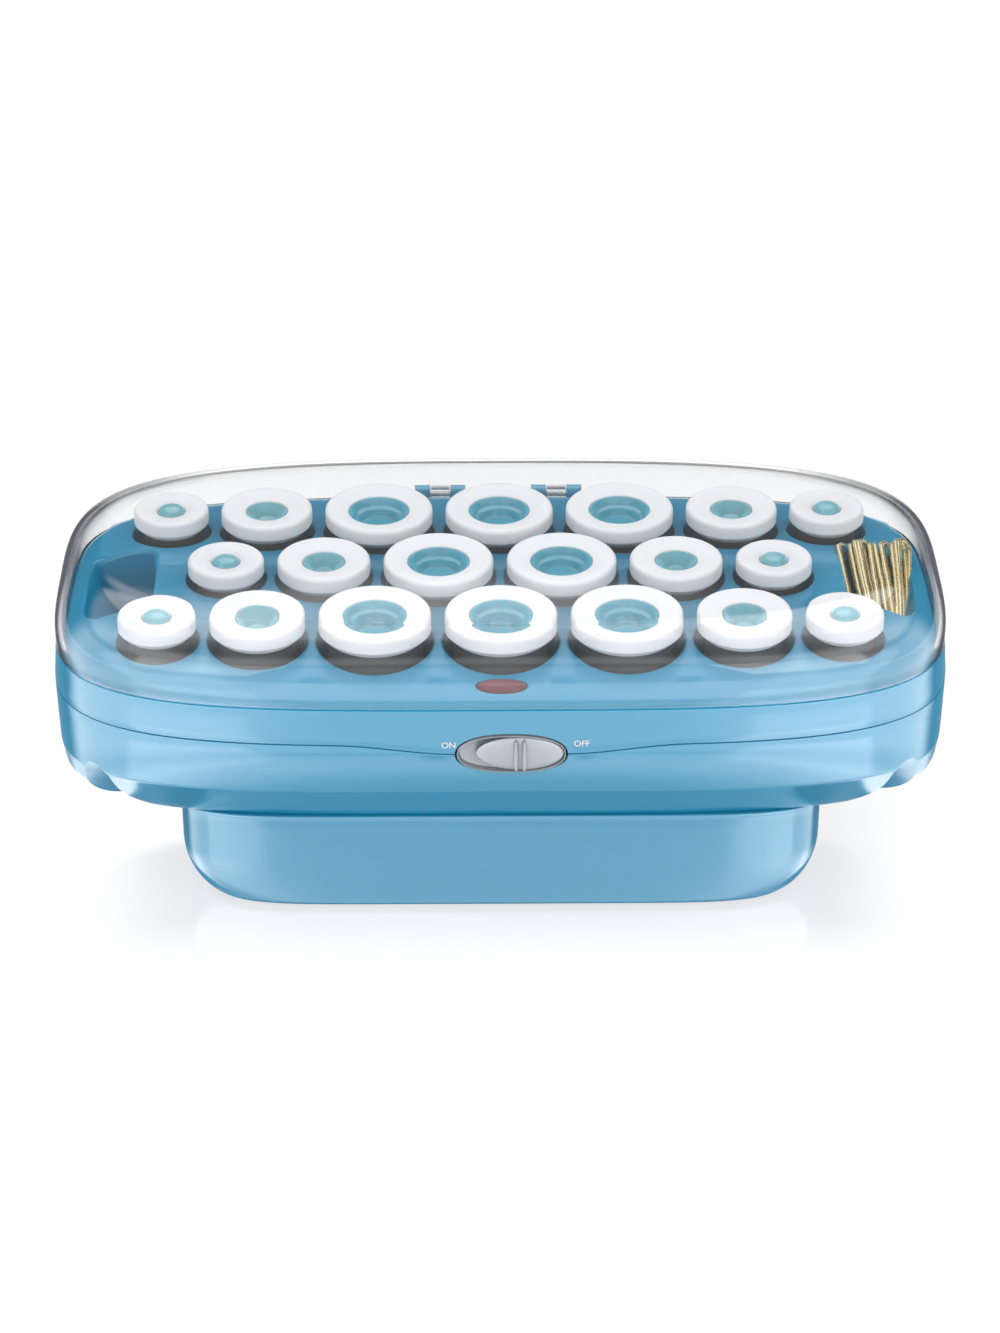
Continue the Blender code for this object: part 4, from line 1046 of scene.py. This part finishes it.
# Rollers: twenty in three widths, each lifted off its post by hand. A matt grey barrel carries the hair,
# a white satin ring stays cool for the fingers, and a teal core is pressed into the ring: a stepped cup in
# the large ones, a bowl in the medium ones and a dome in the small ones.
ROLLER_SEAT = 56.4
ROLLER_LENGTH = 62.0
POST_BORE = 5.1
BORE_DEPTH = 38.6
ROUND_STEPS = 72
# ring radius, core radius
ROLLER_SIZES = {"large": (20.65, 11.75), "medium": (17.475, 8.1), "small": (14.3, 5.4)}
RING_OVERHANG = 3.2
RING_TOP = 1.0
RING_HEIGHT = 8.6
RING_WALL = 5.8
RING_CHAMFER = 2.8
RING_EDGE = 1.5
RING_DISH = 1.7
RING_SEAM = 5.0
RING_GAP = 0.3
CORE_GAP = 0.15
CORE_DROP = 0.3
CORE_SEAT_GAP = 0.4
CORE_BORE_DRAFT = 0.1
CUP_SINK = 2.2
DOME_RISE = 2.6
# how far in from the core's edge, how far below its brink, rounding
CORE_STEPS = {
    "large": [(0.0, 0.0, 0.25), (0.7, 0.0, 0.3), (1.4, 2.8, 0.8), (3.4, 3.4, 0.6), (4.2, 6.0, 1.4)],
    "medium": [(0.0, 0.0, 0.25), (0.6, 0.0, 0.3), (4.45, 3.9, 1.0)],
}
CORE_DEPTHS = {"large": 6.6, "medium": 4.2}

# Filled nylon: dark grey and matt, roughened by its fibres so that hair clings to it.
BARREL_GRAIN = 0.5
matt_nylon = grained("grey_moulded_nylon", {"Roughness": 0.6}, BARREL_GRAIN, tints=("#2C3034", "#383D40"),
                     relief=0.25)

# Satin polypropylene: milky white, lit a little from within, with the soft shine of a lightly etched mould.
ETCH = 0.5
satin = grained("white_satin_polypropylene", {
    "Base Color": linear("#E9EBEF"), "Subsurface Weight": 0.15, "Subsurface Scale": 1.5 * MM}, ETCH,
    sheen=(0.36, 0.5))

# Teal polycarbonate: tinted in the mass and moulded bright, so it is deep in the cup and glassy on the rim.
# The bowls and domes wear a paler copy: painted light for the ring shining through, and painted highlights.
SWIRL = 4.0
teals = {}
for name, tints in (("deep_teal", ("#3A96B0", "#52A8BC")), ("lit_teal", ("#60A2B0", "#78B2BE"))):
    teals[name] = grained(f"{name}_moulded_polycarbonate", {
        "Roughness": 0.1, "IOR": 1.9, "Coat Weight": 1.0, "Subsurface Weight": 0.2,
        "Subsurface Scale": 2.0 * MM}, SWIRL, tints=tints)

face = ROLLER_LENGTH - RING_TOP
foot = face - RING_HEIGHT
brink = face - RING_DISH - CORE_DROP
ring_seam = ROLLER_LENGTH - RING_SEAM
for number, (x, y, size) in enumerate(roller_places, 1):
    body = f"roller_{number:02d}"
    ring_radius, core_radius = ROLLER_SIZES[size]
    barrel_radius = ring_radius - RING_OVERHANG
    place = (x, y, ROLLER_SEAT)
    core_foot = foot - CUP_SINK if size == "large" else foot
    core_seat = core_foot - CORE_SEAT_GAP
    barrel_profile = filleted([
        (0, BORE_DEPTH, 0), (POST_BORE, BORE_DEPTH, 0.6), (POST_BORE, 0, 0.5), (barrel_radius, 0, 1.0),
        (barrel_radius, foot - RING_GAP, 0.5), (core_radius, foot - RING_GAP, 0),
        (core_radius - CORE_BORE_DRAFT, core_seat, 0), (0, core_seat, 0)])
    barrel = turned(f"{body}_grey_barrel", barrel_profile, place, ROUND_STEPS, matt_nylon)
    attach(barrel, body)
    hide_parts(f"{body}_barrel")

    ring_profile = filleted([
        (core_radius, ring_seam, 0), (core_radius, foot, 0.2), (ring_radius - RING_CHAMFER, foot, 0.4),
        (ring_radius, face - RING_WALL, 0.5), (ring_radius, face, RING_EDGE),
        (core_radius, face - RING_DISH, 0.4), (core_radius, ring_seam, 0)])
    ring = turned(f"{body}_white_ring", ring_profile, place, ROUND_STEPS, satin)
    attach(ring, body)
    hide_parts(f"{body}_ring")

    edge = core_radius - CORE_GAP
    core_corners = [(0, core_foot, 0), (edge, core_foot, 0.2)]
    if size == "small":
        core_corners += [(edge * cos(t), brink + DOME_RISE * sin(t), 0)
                         for t in np.linspace(0, pi / 2, 10)[:-1]]
        core_corners.append((0, brink + DOME_RISE, 0))
    else:
        core_corners += [(edge - inset, brink - drop, bend) for inset, drop, bend in CORE_STEPS[size]]
        core_corners.append((0, brink - CORE_DEPTHS[size], 0))
    # The large cups keep the deep teal; the bowls and domes take its paler copy, which is painted light.
    teal = teals["deep_teal" if size == "large" else "lit_teal"]
    core = turned(f"{body}_teal_core", filleted(core_corners), place, ROUND_STEPS, teal)
    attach(core, body)

# Hair pins: fourteen U pins of gold-lacquered steel wire, dropped into the right-hand pocket.
# They lie front to back in two bunches, with their bends on the rear rim and their feet down in the pocket.
PIN_LENGTH = 42.0
PIN_HALF_WIDTH = 3.2
PIN_WIRE = 0.95
PIN_SIDES = 8
PIN_PITCH = radians(22)
PIN_SEED = 7
# least and most that a pin lies off its place in metres, and its pitch, roll and yaw in radians
PIN_JOLT = [(-0.5 * MM, -2.0 * MM, -0.6 * MM), (0.5 * MM, 1.5 * MM, 1.6 * MM)]
PIN_SWAY = [(-0.05, 0.75, -0.03), (0.05, 1.4, 0.03)]
# share of the half width and of the length at the waist and at the foot of a leg
PIN_WAIST = (1.15, 0.6)
PIN_FOOT = (0.9, 1.0)
# name, count, first bend, last bend, lean of the feet to the right, fan
PIN_BUNCHES = [
    ("left", 8, (130.2, 20.5, 107.0), (143.5, 20.5, 107.4), radians(4.5), radians(3)),
    ("right", 6, (146.5, 20.5, 107.6), (155.0, 20.5, 107.6), radians(-1), radians(9)),
]

# Lacquered wire: bright and warm, a drawn metal under a thin golden varnish.
DRAW_MARK = 0.6
DRAWN_SHEEN = (0.2, 0.34)
gold_wire = grained("gold_lacquered_steel_wire", {"Metallic": 1.0}, DRAW_MARK, tints=("#F0DCA4", "#FBF0CC"),
                    sheen=DRAWN_SHEEN)

bunch = bpy.data.node_groups.new("fanned_pins", "GeometryNodeTree")
for socket, kind in (("Pin", "NodeSocketGeometry"), ("Count", "NodeSocketInt"),
                     ("First", "NodeSocketVector"), ("Last", "NodeSocketVector"),
                     ("Wire", "NodeSocketFloat"), ("Fan", "NodeSocketFloat"), ("Pitch", "NodeSocketFloat"),
                     ("Lean", "NodeSocketFloat"), ("Seed", "NodeSocketInt"),
                     ("Material", "NodeSocketMaterial")):
    bunch.interface.new_socket(socket, in_out="INPUT", socket_type=kind)
bunch.interface.new_socket("Pins", in_out="OUTPUT", socket_type="NodeSocketGeometry")
given = add_node(bunch, "NodeGroupInput")
path = add_node(bunch, "GeometryNodeMeshToCurve", {"Mesh": given.outputs["Pin"]})
section = add_node(bunch, "GeometryNodeCurvePrimitiveCircle", {"Resolution": PIN_SIDES,
                                                               "Radius": given.outputs["Wire"]})
wire = add_node(bunch, "GeometryNodeCurveToMesh", {"Curve": path.outputs[0],
                                                   "Profile Curve": section.outputs[0], "Fill Caps": True})
steps = add_node(bunch, "ShaderNodeVectorMath", {0: given.outputs["Last"], 1: given.outputs["First"]},
                 operation="SUBTRACT")
less = add_node(bunch, "ShaderNodeMath", {0: given.outputs["Count"], 1: 1.0}, operation="SUBTRACT")
part = add_node(bunch, "ShaderNodeMath", {0: 1.0, 1: less.outputs[0]}, operation="DIVIDE")
stride = add_node(bunch, "ShaderNodeVectorMath", {0: steps.outputs[0], "Scale": part.outputs[0]},
                  operation="SCALE")
line = add_node(bunch, "GeometryNodeMeshLine", {"Count": given.outputs["Count"],
                                                "Start Location": given.outputs["First"],
                                                "Offset": stride.outputs[0]}, mode="OFFSET")
jolt = add_node(bunch, "FunctionNodeRandomValue", {"Min": PIN_JOLT[0], "Max": PIN_JOLT[1],
                                                   "Seed": given.outputs["Seed"]}, data_type="FLOAT_VECTOR")
strewn = add_node(bunch, "GeometryNodeSetPosition", {"Geometry": line.outputs[0], "Offset": jolt.outputs[0]})
order = add_node(bunch, "GeometryNodeInputIndex")
along = add_node(bunch, "ShaderNodeMath", {0: order.outputs[0], 1: part.outputs[0]}, operation="MULTIPLY")
spread = add_node(bunch, "ShaderNodeMath", {0: along.outputs[0], 1: 0.5}, operation="SUBTRACT")
yaw = add_node(bunch, "ShaderNodeMath", {0: spread.outputs[0], 1: given.outputs["Fan"]},
               operation="MULTIPLY")
lean_seed = add_node(bunch, "ShaderNodeMath", {0: given.outputs["Seed"], 1: 1.0}, operation="ADD")
sway = add_node(bunch, "FunctionNodeRandomValue", {"Min": PIN_SWAY[0], "Max": PIN_SWAY[1],
                                                   "Seed": lean_seed.outputs[0]}, data_type="FLOAT_VECTOR")
swayed = add_node(bunch, "ShaderNodeSeparateXYZ", {0: sway.outputs[0]})
pitch = add_node(bunch, "ShaderNodeMath", {0: swayed.outputs[0], 1: given.outputs["Pitch"]}, operation="ADD")
turn = add_node(bunch, "ShaderNodeMath", {0: swayed.outputs[2], 1: yaw.outputs[0]}, operation="SUBTRACT")
turn = add_node(bunch, "ShaderNodeMath", {0: turn.outputs[0], 1: given.outputs["Lean"]}, operation="ADD")
lie = add_node(bunch, "ShaderNodeCombineXYZ", {0: pitch.outputs[0], 2: turn.outputs[0]})
roll = add_node(bunch, "ShaderNodeCombineXYZ", {1: swayed.outputs[1]})
lie_turn = add_node(bunch, "FunctionNodeEulerToRotation", {0: lie.outputs[0]})
roll_turn = add_node(bunch, "FunctionNodeEulerToRotation", {0: roll.outputs[0]})
set_turn = add_node(bunch, "FunctionNodeRotateRotation", {0: lie_turn.outputs[0], 1: roll_turn.outputs[0]},
                    rotation_space="LOCAL")
laid = add_node(bunch, "GeometryNodeInstanceOnPoints", {"Points": strewn.outputs[0],
                                                        "Instance": wire.outputs[0],
                                                        "Rotation": set_turn.outputs[0]})
real = add_node(bunch, "GeometryNodeRealizeInstances", {"Geometry": laid.outputs[0]})
coated = add_node(bunch, "GeometryNodeSetMaterial", {"Geometry": real.outputs[0],
                                                     "Material": given.outputs["Material"]})
add_node(bunch, "NodeGroupOutput", {0: coated.outputs[0]})

right_leg = [(PIN_HALF_WIDTH * wide, -PIN_LENGTH * long) for wide, long in (PIN_FOOT, PIN_WAIST)]
pin_points = right_leg + [(PIN_HALF_WIDTH * cos(t), PIN_HALF_WIDTH * sin(t)) for t in np.linspace(0, pi, 13)]
pin_points += [(-x, y) for x, y in reversed(right_leg)]
pin_line = bpy.data.meshes.new("pin_line")
pin_line.from_pydata([(x * MM, y * MM, 0) for x, y in pin_points],
                     [(i, i + 1) for i in range(len(pin_points) - 1)], [])
shift = Vector((0, PLAN_SHIFT, 0))
for name, count, first, last, lean, fan in PIN_BUNCHES:
    pins = grown(f"gold_hair_pins_{name}", pin_line, bunch, {
        "Count": count, "First": (Vector(first) + shift) * MM, "Last": (Vector(last) + shift) * MM,
        "Wire": PIN_WIRE * MM, "Fan": fan, "Pitch": PIN_PITCH, "Lean": lean, "Seed": PIN_SEED,
        "Material": gold_wire})
    smoothed(pins, sharp=60)
    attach(pins, "base")

# Hinge rod: a straight length of bright drawn steel, pressed through the housing ears.
# The lid's two lugs turn on it.
ROD_STEPS = 32
ROD_CHAMFER = 0.4

# Drawn steel: bright and grey, its shine just softened by the marks of the die.
drawn_steel = grained("bright_drawn_steel", {"Base Color": linear("#B9BDC0"), "Metallic": 1.0}, DRAW_MARK,
                      sheen=DRAWN_SHEEN)

rod_profile = filleted([(0, -rod_reach, 0), (ROD_RADIUS, -rod_reach, ROD_CHAMFER),
                        (ROD_RADIUS, rod_reach, ROD_CHAMFER), (0, rod_reach, 0)])
rod = turned("steel_hinge_rod", rod_profile, (0, -PLAN_SHIFT, 0), ROD_STEPS, drawn_steel)
axis = Matrix.Translation(Vector((0, HINGE_Y + PLAN_SHIFT, LEDGE)) * MM)
rod.data.transform(axis @ Matrix.Rotation(pi / 2, 4, "Y"))
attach(rod, "base")
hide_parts("hinge_rod")

# Lid: a clear polystyrene cover of even wall, injection-moulded, with round shoulders and a low crown.
# Two lugs at the rear reach back to the hinge rod, and its rim sits on the ledge of the deck.
LID_BOTTOM = 100.3
LID_TOP = 126.0
LID_WALL = 2.2
LID_ROUND = 20.0
LID_CROWN = 2.0
LID_TOP_CORNERS = 2.6
LID_RIM_ROUND = 0.5
LUG_STEP = 0.3
CROWN_SHARES = (0.02, 0.15, 0.3, 0.45, 0.6, 0.75, 0.88, 0.97)

# Clear polystyrene: water-white and mirror-smooth, seen by its reflections and by its edges.
# Where the eye looks along the wall at the lid's ends, a painted dark reflection makes it nearly black.
# EDGE_TURN is how far the wall is turned away where the darkening starts and ends, EDGE_ENDS the distance
# from the middle in metres over which it grows, and EDGE_IN_MIDDLE its share in the middle.
EDGE_TURN = (0.55, 0.8)
EDGE_ENDS = (0.1, 0.14)
EDGE_IN_MIDDLE = 0.15
FLOW = 60.0
clear, tree, shader = finish("clear_moulded_polystyrene", {"IOR": 1.5, "Transmission Weight": 1.0})
graze = add_node(tree, "ShaderNodeLayerWeight", {"Blend": 0.5})
depth = add_node(tree, "ShaderNodeMapRange", {"Value": graze.outputs["Facing"], "From Min": EDGE_TURN[0],
                                              "From Max": EDGE_TURN[1]}, interpolation_type="SMOOTHSTEP")
spot = add_node(tree, "ShaderNodeTexCoord")
place = add_node(tree, "ShaderNodeSeparateXYZ", {0: spot.outputs["Object"]})
outward = add_node(tree, "ShaderNodeMath", {0: place.outputs["X"]}, operation="ABSOLUTE")
ends = add_node(tree, "ShaderNodeMapRange", {
    "Value": outward.outputs[0], "From Min": EDGE_ENDS[0], "From Max": EDGE_ENDS[1],
    "To Min": EDGE_IN_MIDDLE}, interpolation_type="SMOOTHSTEP")
# Painted dark reflection: the colour darkens where the wall turns from the eye, most towards the ends.
painted_edge_shade = add_node(tree, "ShaderNodeMath", {0: depth.outputs[0], 1: ends.outputs[0]}, operation="MULTIPLY")
painted_edge_colour = add_node(tree, "ShaderNodeMix", {0: painted_edge_shade.outputs[0], 6: linear("#FDFDFD"),
                                             7: linear("#0E1424")}, data_type="RGBA")
tree.links.new(painted_edge_colour.outputs[2], shader.inputs["Base Color"])
flow = add_node(tree, "ShaderNodeTexNoise", {"Vector": spot.outputs["Object"], "Scale": 1 / (FLOW * MM)})
sheen = add_node(tree, "ShaderNodeMapRange", {"Value": flow.outputs[0], "To Min": 0.01, "To Max": 0.03})
tree.links.new(sheen.outputs[0], shader.inputs["Roughness"])
rays = add_node(tree, "ShaderNodeLightPath")
pane = add_node(tree, "ShaderNodeBsdfTransparent", {"Color": linear("#FBFBFB")})
lit_pane = add_node(tree, "ShaderNodeMixShader", {0: rays.outputs["Is Shadow Ray"], 1: shader.outputs[0],
                                                  2: pane.outputs[0]})
tree.links.new(lit_pane.outputs[0], tree.nodes["Material Output"].inputs["Surface"])


def lid_loops(inset):
    """Loops of the lid's outer skin, or of its inner one a wall further in, from the crown to the rim."""
    bend = LID_ROUND - inset
    head = LID_TOP - inset
    flat_length = LID_HALF_LENGTH - LID_ROUND
    flat_depth = LID_HALF_DEPTH - LID_ROUND
    slope = 2 * LID_CROWN / flat_depth
    loops = []
    for share in CROWN_SHARES:
        loops.append(outline(flat_length * share, flat_depth * share, LID_TOP_CORNERS,
                             head + LID_CROWN * (1 - share**2), hull_angles))
    for t in np.linspace(atan2(slope, 1), pi / 2, 20):
        run = bend * (1 - sin(t))
        corners = SEAM_CORNERS + (LID_TOP_CORNERS - SEAM_CORNERS) * run / bend
        loops.append(outline(LID_HALF_LENGTH - inset - run, LID_HALF_DEPTH - inset - run, corners,
                             head - bend * (1 - cos(t)), hull_angles))
    return loops


outer_skin = lid_loops(0.0)
for t in np.linspace(0, pi / 2, 4):
    outer_skin.append(lid_edge(LID_RIM_ROUND * (1 - cos(t)), LID_BOTTOM + LID_RIM_ROUND * (1 - sin(t))))
inner_skin = lid_loops(LID_WALL)
inner_skin.append(lid_edge(LID_WALL, LID_BOTTOM))
cover = lofted("clear_lid_cover", outer_skin + inner_skin[::-1])
lug_root = LID_HALF_DEPTH - LID_WALL / 2
lug_view = [(lug_root, LEDGE + KNUCKLE)]
lug_view += hinge_arc(KNUCKLE, pi / 2, -pi, HINGE_STEPS)
lug_view += [(lug_root, LID_BOTTOM + LUG_STEP)]
for side in (-1, 1):
    middle = side * HINGE_SPACING / 2
    carved(cover, "UNION", across("lug", lug_view, middle - LUG_HALF_WIDTH, middle + LUG_HALF_WIDTH))
carved(cover, "DIFFERENCE", rod_bore(rod_reach))
worn(smoothed(cover), clear)
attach(cover, "lid")
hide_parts("lid")
